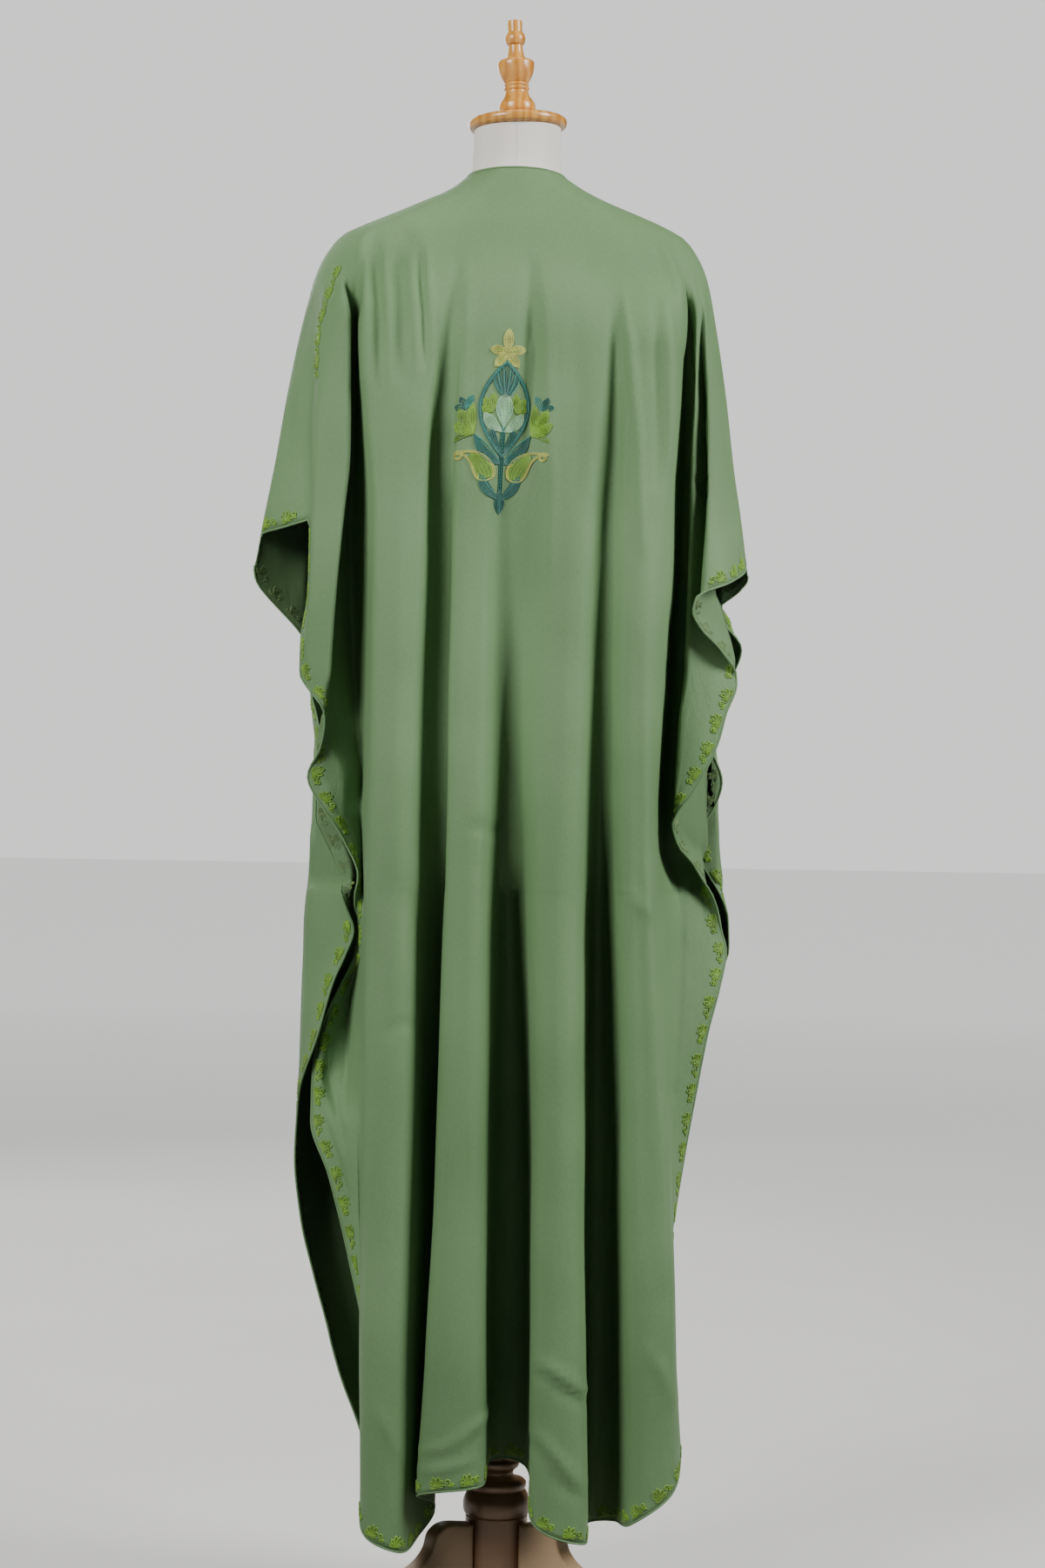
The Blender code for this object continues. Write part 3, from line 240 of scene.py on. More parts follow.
FRONT_LEFT_WING = (
    (1440, -192, 42, -187, 48, -182, 54, -175, 60, -168, 64, -160, 68),
    (1400, -204, 48, -202, 55, -198, 64, -189, 68, -180, 70, -168, 56),
    (1313, -210, 46, -208, 55, -204, 68, -194, 73, -184, 76, -172, 46),
    (1240, -214, 44, -211, 55, -206, 70, -195, 76, -184, 80, -172, 44),
    (1165, -218, 42, -214, 55, -208, 72, -196, 78, -184, 82, -171, 44),
    (1092, -222, 38, -217, 55, -209, 72, -197, 79, -184, 84, -170, 46),
    (1000, -212, 22, -214, 46, -203, 72, -194, 79, -184, 84, -168, 50),
    (945, -200, 6, -206, 26, -208, 44, -200, 68, -189, 80, -167, 56),
    (930, -199, -14, -199, -4, -207, 22, -206, 50, -190, 78, -167, 57),
    (915, -201, -32, -195, -20, -206, 14, -207, 44, -190, 77, -166, 58),
    (900, -203, -42, -193, -28, -206, 10, -208, 40, -190, 76, -166, 58),
    (860, -204, -50, -184, -40, -206, 0, -209, 34, -192, 74, -166, 60),
    (840, -195, -57, -173, -46, -208, -6, -211, 30, -194, 72, -166, 62),
    (800, -177, -63, -159, -53, -209, -14, -213, 26, -196, 70, -166, 64),
    (770, -167, -65, -163, -53, -209, -20, -215, 22, -196, 70, -166, 66),
    (745, -158, -62, -170, -51, -209, -24, -216, 20, -197, 70, -166, 68),
    (720, -166, -60, -180, -48, -210, -22, -216, 20, -197, 70, -166, 69),
    (690, -179, -57, -190, -44, -211, -20, -217, 20, -198, 70, -166, 70),
    (630, -196, -48, -203, -34, -214, -12, -218, 22, -198, 70, -166, 72),
    (580, -213, -32, -216, -20, -218, -8, -218, 26, -198, 70, -165, 74),
    (555, -217, -14, -218, -4, -219, 8, -217, 34, -200, 68, -164, 76),
    (500, -220, -2, -219, 8, -217, 20, -212, 42, -198, 66, -162, 78),
    (435, -213, 2, -211, 12, -209, 24, -202, 46, -190, 66, -158, 80),
    (374, -198, 6, -196, 16, -194, 28, -188, 48, -178, 66, -154, 82),
    (322, -184, 8, -183, 18, -181, 30, -176, 50, -168, 68, -151, 84),
    (260, -170, 10, -169, 22, -168, 34, -164, 52, -158, 70, -148, 86),
    (167, -143, 14, -145, 26, -146, 38, -146, 56, -146, 72, -143, 88),
    (120, -134, 16, -136, 28, -138, 40, -139, 56, -140, 72, -141, 88),
)
FRONT_LEGS = (2, 3, 2, 2, 2)
FRONT_RIGHT_SLEEVE = (
    (1440, 188, 42, 198, 22, 203, 0),
    (1400, 197, 50, 206, 30, 211, 0),
    (1313, 205, 46, 216, 32, 225, 0),
    (1240, 212, 40, 226, 28, 234, 0),
    (1180, 218, 30, 234, 22, 243, 0),
    (1110, 224, 14, 240, 12, 252, 0),
)
FRONT_RIGHT_WING = (
    (1440, 188, 42, 185, 46, 182, 50, 178, 55, 174, 60, 170, 64),
    (1400, 197, 50, 195, 58, 192, 66, 186, 68, 180, 68, 176, 56),
    (1313, 205, 46, 203, 54, 198, 68, 192, 72, 184, 74, 176, 48),
    (1240, 212, 40, 209, 50, 204, 66, 196, 72, 188, 76, 176, 46),
    (1180, 218, 30, 215, 42, 210, 62, 200, 72, 190, 78, 177, 48),
    (1110, 224, 14, 221, 30, 216, 56, 204, 70, 192, 78, 178, 50),
    (1080, 229, 6, 236, 24, 220, 56, 205, 70, 192, 78, 178, 52),
    (1050, 246, 8, 241, 26, 222, 56, 206, 69, 192, 78, 177, 54),
    (1015, 236, 12, 232, 26, 222, 50, 208, 66, 194, 76, 177, 56),
    (980, 224, 8, 223, 20, 220, 40, 209, 62, 196, 74, 176, 58),
    (962, 219, -4, 215, 2, 221, 24, 212, 56, 196, 74, 176, 59),
    (950, 214, -22, 206, -17, 221, 10, 219, 36, 196, 74, 176, 60),
    (905, 228, -30, 201, -28, 225, 2, 221, 34, 198, 74, 175, 62),
    (880, 221, -36, 199, -30, 224, 0, 222, 34, 198, 74, 175, 64),
    (852, 204, -38, 200, -29, 226, 2, 224, 36, 200, 74, 175, 66),
    (836, 199, -28, 208, -16, 227, 4, 225, 38, 202, 72, 175, 68),
    (818, 208, -20, 216, -8, 229, 8, 226, 40, 202, 72, 175, 70),
    (800, 219, -12, 224, -3, 231, 12, 226, 42, 202, 72, 175, 70),
    (780, 231, -4, 232, 6, 231, 24, 224, 48, 202, 72, 175, 72),
    (760, 237, 0, 236, 10, 231, 30, 220, 52, 200, 74, 174, 74),
    (727, 238, 4, 236, 14, 229, 36, 216, 58, 198, 76, 174, 76),
    (690, 222, 12, 222, 22, 220, 40, 208, 64, 192, 74, 174, 78),
    (640, 208, 14, 209, 24, 209, 42, 200, 68, 188, 74, 174, 80),
    (560, 193, 16, 195, 28, 195, 46, 190, 70, 182, 77, 174, 82),
    (430, 172, 18, 175, 30, 178, 48, 180, 68, 178, 76, 174, 84),
    (250, 176, 16, 178, 28, 180, 46, 182, 68, 180, 77, 176, 86),
    (170, 189, 14, 189, 26, 188, 44, 186, 66, 182, 78, 176, 88),
    (120, 193, 14, 192, 26, 190, 44, 188, 66, 183, 78, 176, 88),
)

# Cuffs, left and right: level, lift at the tuck, lift at the fold.
BACK_CUFFS = ((1165, 9, -6), (1110, -8, 25))
FRONT_CUFFS = ((1092, -34, 36), (1110, -15, 15))
# Hem height at the left and right side edges, and how far the neckline dips in its middle.
BACK_HEM_SIDES, BACK_NECK_DIP = (165, 215), -3
FRONT_HEM_SIDES, FRONT_NECK_DIP = (160, 188), 84

# ---------------------------------------------------------------- stand (mm)
LEG_THICK = 24.0
LEG_ANGLES = (-150.0, -30.0, 90.0)
FORM_BOTTOM = 800.0
FORM_EASE = 2.4             # how far the form lies under the yoke
FORM_NECK = (  # z, half width, back, front
    (1594, 46, 46, 46),
    (1572, 46.6, 46.8, 47.6),
    (1552, 47.6, 49.5, 52),
)
FORM_BODY = (
    (1420, 187, 94, 100),
    (1340, 162, 104, 112),
    (1240, 146, 104, 122),
    (1140, 128, 87, 106),
    (1060, 112, 76, 90),
    (960, 128, 77, 94),
    (860, 138, 77, 97),
    (806, 132, 70, 90),
    (800, 124, 64, 84),
)
FORM_ROUND = 2.25           # exponent of the form's rounded plan
RING = 96                   # points round the form


# ---------------------------------------------------------------- fineness of the cloth
FOLD_DIVISIONS = 9          # columns between two fold lines of the middle
ROWS = 206                  # level sections from neck to hem
CRISP = 0.95                # how far the middle folds run through their lines
NECK_ROUND = 0.8            # roundness of the scooped neckline
DEPTH = 1.35                # all the creases deeper or shallower
LIE = 1.1                   # height of the cloth's uneven lie

# Creases: half width, height outwards, first and last control line that it may
# touch, then x and z of each point of its line.
BACK_CREASES = (
    # gathers that fan out from the left shoulder
    (7, 3.2, 12, 18, -163, 1482, -152, 1390, -150, 1300),
    (6, -3.6, 12, 19, -149, 1472, -139, 1380, -136, 1300),
    (5, 2.8, 15, 19, -137, 1464, -129, 1380, -127, 1296),
    (6, -3.2, 15, 20, -124, 1458, -116, 1390, -113, 1310),
    (5, 3.2, 16, 20, -108, 1456, -101, 1380, -98, 1310),
    (4.2, -2.4, 16, 20, -99, 1450, -93, 1380, -91, 1322),
    (4.2, 3.2, 16, 21, -92, 1462, -85, 1380, -84, 1300),
    (4, -4, 12, 18, -159, 1442, -160, 1412, -160, 1380),
    (6, -3, 2, 12, -186, 1440, -196, 1380, -204, 1290),
    (5, 1.4, 12, 20, -120, 1492, -104, 1476, -92, 1452),
    (4, -1.2, 12, 20, -128, 1484, -112, 1466, -102, 1440),
    # valleys and ridges of the middle
    (7, -3.6, 18, 23, -58, 1450, -68, 1352, -77, 1244, -79, 1135),
    (6, 2.2, 19, 23, -46, 1430, -50, 1330, -54, 1200),
    (7.5, -4.6, 21, 26, 15, 1448, 19, 1350, 16, 1230),
    (6.5, 2.4, 22, 27, 32, 1420, 36, 1330, 42, 1200, 40, 1080),
    (9, -1.6, 24, 28, 60, 1400, 66, 1300, 70, 1180),
    (6, -3.2, 25, 30, 98, 1404, 104, 1352, 105, 1244, 96, 1135),
    (5, 4.2, 26, 31, 110, 1412, 120, 1352, 130, 1244, 135, 1135),
    (6, -3, 27, 32, 145, 1404, 149, 1300, 150, 1200),
    (6, 3.6, 28, 33, 156, 1408, 161, 1330, 163, 1220),
    (5.5, 2.8, 28, 36, 150, 1472, 170, 1420, 178, 1350),
    (4.4, -5, 29, 34, 186, 1404, 180, 1300, 177, 1222, 177, 1113, 175, 1000),
    (8, 1.8, 16, 19, -112, 1250, -112, 900, -110, 560),
    (8, -1.7, 20, 23, -30, 1150, -46, 880, -46, 460),
    (8, 1.7, 24, 27, 62, 1100, 56, 760, 62, 420),
    (8, -2.2, 28, 31, 131, 1060, 138, 740, 152, 400),
    # short creases across the cloth
    (4.5, -1.5, 20, 24, -45, 857, -25, 853, -5, 855),
    (4.5, -1.3, 16, 20, -125, 640, -108, 650, -90, 655),
    (4.5, 1.5, 28, 31, 125, 790, 138, 780, 150, 765),
    (4.5, -1.5, 29, 33, 160, 590, 176, 583, 190, 580),
    (4.5, -2.6, 4, 17, -190, 604, -176, 566, -163, 518),
    (4.5, -2.6, 4, 17, -196, 564, -178, 524, -159, 478),
    (4.5, -2.4, 4, 17, -186, 524, -170, 492, -154, 458),
    (5, 3.4, 24, 27, 37, 312, 62, 298, 92, 276),
    (5, -2.4, 24, 27, 38, 301, 64, 286, 90, 264),
    (5, 3.4, 24, 27, 36, 242, 60, 214, 90, 178),
    (5, -2.4, 24, 27, 34, 229, 57, 201, 84, 168),
    (5, 2, 20, 24, -82, 216, -52, 222, -20, 246, 8, 266),
    (4.5, 1.7, 20, 24, -82, 196, -56, 199, -26, 209),
    (6, 1.6, 28, 32, 150, 330, 168, 300, 182, 262),
    (5, 1.5, 16, 19, -128, 260, -112, 240, -98, 206),
    (4, 2, 36, 48, 228, 1168, 236, 1158, 242, 1142),
    (4, -2, 34, 48, 190, 1226, 198, 1216, 208, 1206),
)
FRONT_CREASES = (
    (8, 3.6, 12, 18, -160, 1476, -156, 1390, -154, 1290),
    (5.5, -3, 12, 19, -144, 1470, -140, 1380, -138, 1300),
    (6, 3, 15, 19, -128, 1462, -122, 1380, -118, 1280),
    (5, 2.6, 16, 20, -100, 1452, -94, 1380, -90, 1310),
    (6.5, -3, 17, 22, -60, 1440, -66, 1300, -72, 1150),
    (8, 3.6, 28, 36, 158, 1476, 155, 1390, 152, 1300),
    (5.5, -3, 28, 34, 140, 1468, 136, 1384, 134, 1310),
    (6, 3.2, 27, 32, 124, 1460, 119, 1376, 116, 1272),
    (5, 2.2, 26, 31, 92, 1450, 88, 1370, 86, 1300),
    (6.5, -3, 25, 30, 62, 1430, 68, 1300, 74, 1140),
    (8, 2, 20, 23, -46, 1240, -42, 1000, -44, 640),
    (8, -1.9, 24, 27, 44, 1200, 48, 940, 42, 560),
    (8, 2, 16, 19, -116, 1180, -120, 820, -114, 420),
    (8, -2, 28, 31, 122, 1100, 126, 800, 132, 420),
    (4.5, -1.5, 20, 24, -50, 742, -32, 748, -14, 744),
    (5, 2.8, 24, 27, 24, 330, 42, 312, 60, 286),
    (5, -2.2, 24, 27, 22, 318, 40, 300, 58, 274),
    (5, 2.4, 16, 19, -128, 300, -112, 282, -98, 250),
    (5, 1.8, 28, 31, 100, 520, 122, 508, 144, 486),
)


# ---------------------------------------------------------------- curves and tables
def follow(heights, values, z):
    """Smooth value at height z from a table of falling heights."""
    h = np.asarray(heights, float)[::-1]
    v = np.asarray(values, float)[::-1]
    z = min(max(z, h[0]), h[-1])
    k = min(int(np.searchsorted(h, z, side="right")) - 1, len(h) - 2)
    slopes = np.diff(v, axis=0) / np.diff(h).reshape((-1,) + (1,) * (v.ndim - 1))

    def tangent(i):
        if i == 0:
            return slopes[0]
        if i == len(h) - 1:
            return slopes[-1]
        a, b = slopes[i - 1], slopes[i]
        return np.where(a * b > 0, 2 * a * b / np.where(a + b == 0, 1, a + b), 0.0)

    step = h[k + 1] - h[k]
    t = (z - h[k]) / step
    return ((2 * t**3 - 3 * t**2 + 1) * v[k] + (t**3 - 2 * t**2 + t) * step * tangent(k)
            + (3 * t**2 - 2 * t**3) * v[k + 1] + (t**3 - t**2) * step * tangent(k + 1))


def run_of(points):
    """Distance along a line, or along each of several lines, at its points."""
    steps = np.linalg.norm(np.diff(points, axis=-2), axis=-1)
    return np.concatenate((np.zeros(steps.shape[:-1] + (1,)), np.cumsum(steps, axis=-1)), axis=-1)


def spaced(path, count):
    """The path's points again, count of them at even steps along it."""
    p = np.asarray(path, float)
    run = run_of(p)
    at = np.linspace(0.0, run[-1], count)
    return np.column_stack([np.interp(at, run, p[:, i]) for i in range(2)])


def near_weights(t):
    """Weights of four controls for a line that runs near them, at share t of the middle."""
    return ((1 - t)**3 / 6, (3 * t**3 - 6 * t**2 + 4) / 6,
            (-3 * t**3 + 3 * t**2 + 3 * t + 1) / 6, t**3 / 6)


def through_weights(t):
    """The same for a line that runs through the controls."""
    return ((-t + 2 * t**2 - t**3) / 2, (2 - 5 * t**2 + 3 * t**3) / 2,
            (t + 4 * t**2 - 3 * t**3) / 2, (t**3 - t**2) / 2)


def spread(path, legs):
    """A wing's path as WING_COLUMNS + 1 points; legs holds a count for each of its legs."""
    points = []
    for a, b, count in zip(path, path[1:], legs):
        steps = np.arange(count)[:, None] / count
        points.append(np.asarray(a, float) * (1 - steps) + np.asarray(b, float) * steps)
    return np.vstack(points + [path[-1]])


def fade(z, low, high):
    """Eased share of the way from low to high."""
    t = min(max((z - low) / (high - low), 0.0), 1.0)
    return t * t * (3 - 2 * t)


def even(across, height):
    """Soft, uneven lie of hanging cloth: a few long waves added together."""
    return (0.42 * np.sin(across / 23.0 + height / 310.0 + 1.3)
            + 0.30 * np.sin(across / 11.5 - height / 190.0 + 0.4)
            + 0.34 * np.sin(height / 61.0 + across / 47.0)
            + 0.22 * np.sin(height / 29.0 - across / 31.0 + 2.1))


def paths_of(table):
    """A table's rows as pairs of a height and a path."""
    return [(row[0], np.reshape(row[1:], (-1, 2))) for row in table]


def ridge(z):
    """At height z: left and right half width, and how far back and front the yoke stands."""
    return follow([r[0] for r in RIDGE], [r[1:] for r in RIDGE], z)


# ---------------------------------------------------------------- one panel of cloth
class Panel:
    """A cloth panel as a fine grid: rows are sections, columns run from left to right."""

    def __init__(self, sign, folds, sleeves, wings, legs, cuffs, hem_sides, neck_dip, creases):
        self.sign = sign                  # -1 for the back, +1 for the front
        self.folds = folds
        self.sleeves = [paths_of(table) for table in sleeves]     # left, right
        self.wings = [paths_of(table) for table in wings]         # left, right
        self.legs = legs                  # columns along each leg of the wings' paths
        self.cuffs = cuffs                # for each side: level, lift at the tuck, at the fold
        self.hem_sides = hem_sides        # hem height at the left and right side edges
        self.neck_dip = neck_dip
        self.creases = creases
        self.side = SLEEVE_COLUMNS + WING_COLUMNS + 1
        counts = ([3] * SLEEVE_COLUMNS + [2] * (WING_COLUMNS + 1) + [FOLD_DIVISIONS] * (
            len(folds) - 1) + [2] * (WING_COLUMNS + 1) + [3] * SLEEVE_COLUMNS)
        last = len(counts)
        # Each column's place among the control lines, and its weights from them: near them,
        # or for the middle folds through them.
        self.at = np.concatenate([i + np.arange(n) / n for i, n in enumerate(counts)]
                                 + [[float(last)]])
        self.weights = np.zeros((len(self.at), last + 1))
        self.through = np.zeros_like(self.weights)
        for near, through, at in zip(self.weights, self.through, self.at):
            i = min(int(at), last - 1)
            t = at - i
            for k, a, b in zip(range(i - 1, i + 3), near_weights(t), through_weights(t)):
                if k < 0:
                    near[:2] += (2 * a, -a)
                elif k > last:
                    near[-2:] += (-a, 2 * a)
                else:
                    near[k] += a
                through[min(max(k, 0), last)] += b
        inside = np.minimum(self.at, last - self.at)
        self.crisp = (0.6 * np.clip(inside - SLEEVE_COLUMNS, 0.0, 1.0)
                      + 0.4 * np.clip(inside - self.side + 4.0, 0.0, 1.0))
        self.left = int(np.argmin(abs(self.at - SLEEVE_COLUMNS)))
        self.right = len(self.at) - 1 - self.left
        levels = {float(cuffs[0][0]), float(cuffs[1][0]), SLIT_FOOT}
        for z in np.linspace(RIDGE[0][0], HEM_LEVEL, ROWS):
            if all(abs(z - other) > 2.5 for other in levels):
                levels.add(float(z))
        self.levels = sorted(levels, reverse=True)
        self.cuff_rows = [self.levels.index(float(cuff[0])) for cuff in cuffs]
        self.points = self.grid()
        self.normals = self.outward(self.points)
        self.crease()
        self.normals = self.outward(self.points)

    def facing(self, back, front):
        """The one of two values that belongs to this panel."""
        return back if self.sign < 0 else front

    def yoke_depth(self, x, z):
        """How far the rounded yoke stands from the shoulder seam, above x at height z."""
        left, right, back, front = ridge(z)
        share = min(abs(x) / (left if x < 0 else right), 1.0)
        reach = (1.0 - share**YOKE_ROUND)**(1 / YOKE_ROUND)
        return max(self.facing(back, front) * reach, SEAM / 2)

    def yoke_point(self, share, z):
        """Point of the rounded yoke; share runs from -1 at the left ridge to 1."""
        x = share * ridge(z)[0 if share < 0 else 1]
        return x, self.sign * self.yoke_depth(x, z)

    def crest(self, z):
        """y of the fold crests at height z; on the shoulders they join the yoke."""
        spread = self.sign * CREST_SPREAD * (FOLD_TOP - z) / 1200
        near = self.sign * self.facing(*ridge(z)[2:])
        level = self.facing(CREST_BACK, CREST_FRONT)
        return near + (level + spread - near) * fade(1400 - z, 0.0, 140.0)

    def fold_lines(self, z):
        points = []
        for _, x_at, drop_at, _ in self.folds:
            x = follow(FOLD_X_AT[len(x_at)], x_at, z)
            drop = follow(FOLD_DROP_AT, drop_at, z)
            points.append((x, self.crest(z) - self.sign * drop))
        return np.array(points)

    def clear_of_form(self, y, x, z):
        """y moved outwards where that is needed to keep clear of the form at height z."""
        limit = np.full(len(x), FORM_FREE)
        if FORM_BOTTOM - 10 < z < YOKE_LEVEL:
            half, back, front = follow(*form_table(), z)
            reach = np.clip(1 - np.abs(x / half)**FORM_ROUND, 0, 1)**(1 / FORM_ROUND)
            limit = self.facing(back, front) * reach + FORM_GAP
        return self.sign * np.maximum(self.sign * y, limit)

    def side_lines(self, side, z):
        sleeve, wing = self.sleeves[side], self.wings[side]
        level = max(z, sleeve[-1][0])
        paths = [spaced(path, 24) for _, path in sleeve]
        path = follow([row[0] for row in sleeve], paths, level)
        fold = np.array((path[-1][0], self.sign * SEAM / 2))
        turn = fold + np.array((0.0, self.sign * 6.0))
        rest = spaced(np.vstack((path[:-4], turn)), SLEEVE_COLUMNS)[::-1]
        outer = np.vstack((fold, rest[:-1]))
        paths = [spread(path, self.legs[side]) for _, path in wing]
        inner = follow([row[0] for row in wing], paths, z)
        if z < self.cuffs[side][0] - 0.01:
            # Below the cuff the cloth starts at the side edge, so nothing bends it there.
            outer = inner[0] + (inner[0] - inner[1]) * np.arange(SLEEVE_COLUMNS, 0, -1)[:, None]
        return np.vstack((outer, inner))

    def lines(self, z):
        """Control points of the section at height z, from left to right."""
        beside = max(min(z, YOKE_LEVEL), HEM_LEVEL)
        shaped = np.vstack((self.side_lines(0, beside), self.fold_lines(min(z, FOLD_TOP)),
                            self.side_lines(1, beside)[::-1]))
        if z < FOLD_TOP:
            return shaped
        folds = self.side
        widths = ridge(min(z, YOKE_LEVEL))
        shares = shaped[:, 0] / np.where(shaped[:, 0] < 0, widths[0], widths[1])
        ends = [shares[folds], shares[-folds - 1]]
        for k in range(folds):
            s = k / folds
            shares[k] = -1 + (ends[0] + 1) * s
            shares[-1 - k] = 1 - (1 - ends[1]) * s
        smooth = np.array([self.yoke_point(min(max(s, -1.0), 1.0), z) for s in shares])
        mix = np.full((len(shares), 1), fade(z, 1380.0, YOKE_LEVEL + 12.0))
        mix[folds:len(shares) - folds] = fade(z, FOLD_TOP, YOKE_LEVEL)
        return shaped * (1 - mix) + smooth * mix

    def hem_heights(self):
        left = np.linspace(self.hem_sides[0], self.folds[0][3], self.side + 1)[:-1]
        right = np.linspace(self.folds[-1][3], self.hem_sides[1], self.side + 1)[1:]
        return self.weights @ np.concatenate((left, [f[3] for f in self.folds], right))

    def grid(self):
        hems = self.hem_heights()
        last = len(self.at) - 1
        # The neckline is a round scoop across the neck, whatever the columns' spacing.
        top = (self.weights @ self.lines(self.levels[0]))[:, 0]
        halves = np.where(top < 0, RIDGE[0][1], RIDGE[0][2])
        scoop = (1 - np.clip(abs(top / halves), 0, 1)**2)**NECK_ROUND
        rows = []
        for level in self.levels:
            lines = self.lines(level)
            mix = (CRISP * self.crisp * fade(1420.0 - level, 0.0, 200.0))[:, None]
            section = (self.weights @ lines) * (1 - mix) + (self.through @ lines) * mix
            section[:, 1] = self.clear_of_form(section[:, 1], section[:, 0], level)
            points = []
            for c, (x, y) in enumerate(section):
                z = level
                if level < HEM_BLEND:
                    s = (HEM_BLEND - level) / (HEM_BLEND - HEM_LEVEL)
                    z = HEM_BLEND - s * (HEM_BLEND - hems[c])
                for side, (cuff, at_tuck, at_fold) in enumerate(self.cuffs):
                    near = 1 - min(abs(level - cuff) / CUFF_REACH, 1.0)
                    at = self.at[c] if side == 0 else self.at[last] - self.at[c]
                    if at <= SLEEVE_COLUMNS:
                        share = 1 - at / SLEEVE_COLUMNS
                        z += near**2 * (at_tuck + (at_fold - at_tuck) * share)
                    else:
                        z += near**2 * at_tuck * max(1 - (at - SLEEVE_COLUMNS) / 6.0, 0.0)**2
                if level > FOLD_TOP:
                    low = z - self.neck_dip * scoop[c] * fade(level, FOLD_TOP, RIDGE[0][0])
                    y += self.sign * (self.yoke_depth(x, low) - self.yoke_depth(x, z))
                    z = low
                points.append((x, y, z))
            rows.append(points)
        return np.array(rows)

    def outward(self, points):
        """Unit normals on the panel's outer face."""
        across = np.gradient(points, axis=1)
        down = np.gradient(points, axis=0)
        normals = self.sign * np.cross(across, down)
        return normals / np.maximum(np.linalg.norm(normals, axis=2, keepdims=True), 1e-9)

    def crease(self):
        """Listed creases and the cloth's uneven lie, moved along the normals."""
        p = self.points
        run = run_of(p)
        run -= run[:, len(self.at) // 2][:, None]
        self.run = run
        calm = np.clip((1520.0 - p[..., 2]) / 160.0, 0.0, 1.0)
        move = LIE * even(run, p[..., 2]) * calm
        for width, depth, first, last, *line in self.creases:
            inside = (self.at >= first) & (self.at <= last)
            spot = p[:, inside]
            flat = np.stack((spot[..., 0], spot[..., 2]), axis=-1)
            line = np.reshape(line, (-1, 2)).astype(float)
            lengths = np.linalg.norm(np.diff(line, axis=0), axis=1)
            starts = run_of(line)
            nearest = np.full(flat.shape[:2], 1e9)
            share = np.zeros(flat.shape[:2])
            for a, b, length, start in zip(line, line[1:], lengths, starts):
                along = np.clip(((flat - a) @ (b - a)) / length**2, 0.0, 1.0)
                away = np.linalg.norm(flat - (a + along[..., None] * (b - a)), axis=-1)
                better = away < nearest
                nearest = np.where(better, away, nearest)
                share = np.where(better, (start + along * length) / starts[-1], share)
            taper = np.clip(4.0 * share * (1.0 - share), 0.0, 1.0)**0.6
            move[:, inside] += DEPTH * depth * taper * np.exp(-(nearest / width)**2)
        # On cloth that is turned inwards the creases and the lie are weaker.
        wanted = self.sign * self.normals[..., 1] > -0.2
        move = np.where(wanted, move, 0.35 * move)
        # On the shoulders the form lies right under the cloth.
        low = -1.2 - 9.0 * np.clip((1445.0 - p[..., 2]) / 60.0, 0.0, 1.0)
        move = np.maximum(move, low)
        edge = np.minimum(np.abs(self.at), np.abs(self.at[-1] - self.at))
        move = move * np.clip(edge / 2.0, 0.0, 1.0)[None, :]
        moved = p + self.normals * move[..., None]
        # Nothing pushes the cloth into the form that it hangs over.
        for row, z in zip(moved, self.levels):
            row[:, 1] = self.clear_of_form(row[:, 1], row[:, 0], z)
        self.points = moved

    def strip(self, edge):
        """Lines that start at an edge and run inwards, as (points, normals) pairs."""
        p, n = self.points, self.normals
        at_left = "left" in edge
        foot = self.cuff_rows[0 if at_left else 1]
        if edge.endswith("side"):
            cols = (range(self.left, self.left + 14) if at_left
                    else range(self.right, self.right - 14, -1))
            return [(p[r, cols], n[r, cols]) for r in range(foot, len(p))]
        if edge == "hem":
            foot, cols = len(p) - 1, range(self.left, self.right + 1)
        elif at_left:
            cols = range(0, self.left + 1)
        else:
            cols = range(len(self.at) - 1, self.right - 1, -1)
        rows = range(foot, foot - (11 if edge == "hem" else 12), -1)
        return [(p[rows, c], n[rows, c]) for c in cols]

    def mesh(self):
        """The panel as a bmesh, its cuffs and slit cut away, with cloth coordinates."""
        rows, columns = self.points.shape[:2]
        bm = bmesh.new()
        bmesh.ops.create_grid(bm, x_segments=columns - 1, y_segments=rows - 1, size=1.0)
        layer = bm.loops.layers.uv.new("cloth")
        place = {v: (round((1 - v.co.y) / 2 * (rows - 1)), round((v.co.x + 1) / 2 * (columns - 1)))
                 for v in bm.verts}
        slit, slit_foot = self.slit_columns(), self.levels.index(SLIT_FOOT)
        cut = []
        for face in bm.faces:
            r, c = (min(place[v][k] for v in face.verts) for k in (0, 1))
            if ((r >= self.cuff_rows[0] and c < self.left)
                    or (r >= self.cuff_rows[1] and c >= self.right)
                    or (r < slit_foot and c in slit)):
                cut.append(face)
                continue
            for loop in face.loops:
                r, c = place[loop.vert]
                loop[layer].uv = (self.run[r, c] * MM, self.levels[r] * MM)
        for v, (r, c) in place.items():
            v.co = Vector(self.points[r, c]) * MM
        bmesh.ops.delete(bm, geom=cut, context="FACES")
        middle = Vector(self.points[rows // 2, columns // 2])
        face = min(bm.faces, key=lambda f: (f.calc_center_median() / MM - middle).length)
        bm.normal_update()
        if face.normal.dot(Vector(self.normals[rows // 2, columns // 2])) < 0:
            bmesh.ops.reverse_faces(bm, faces=bm.faces)
        return bm

    def slit_columns(self):
        names = [fold[0] for fold in self.folds]
        if "slit, left" not in names:
            return range(0)
        first = self.side + names.index("slit, left")
        inside = [c for c, at in enumerate(self.at) if first <= at < first + 1]
        return range(inside[0], inside[-1] + 1)


def form_table():
    """Heights of the dress form's sections, and its half width, back and front there."""
    sections = form_sections()
    return [row[0] for row in sections], [row[1:] for row in sections]


PANELS = {}


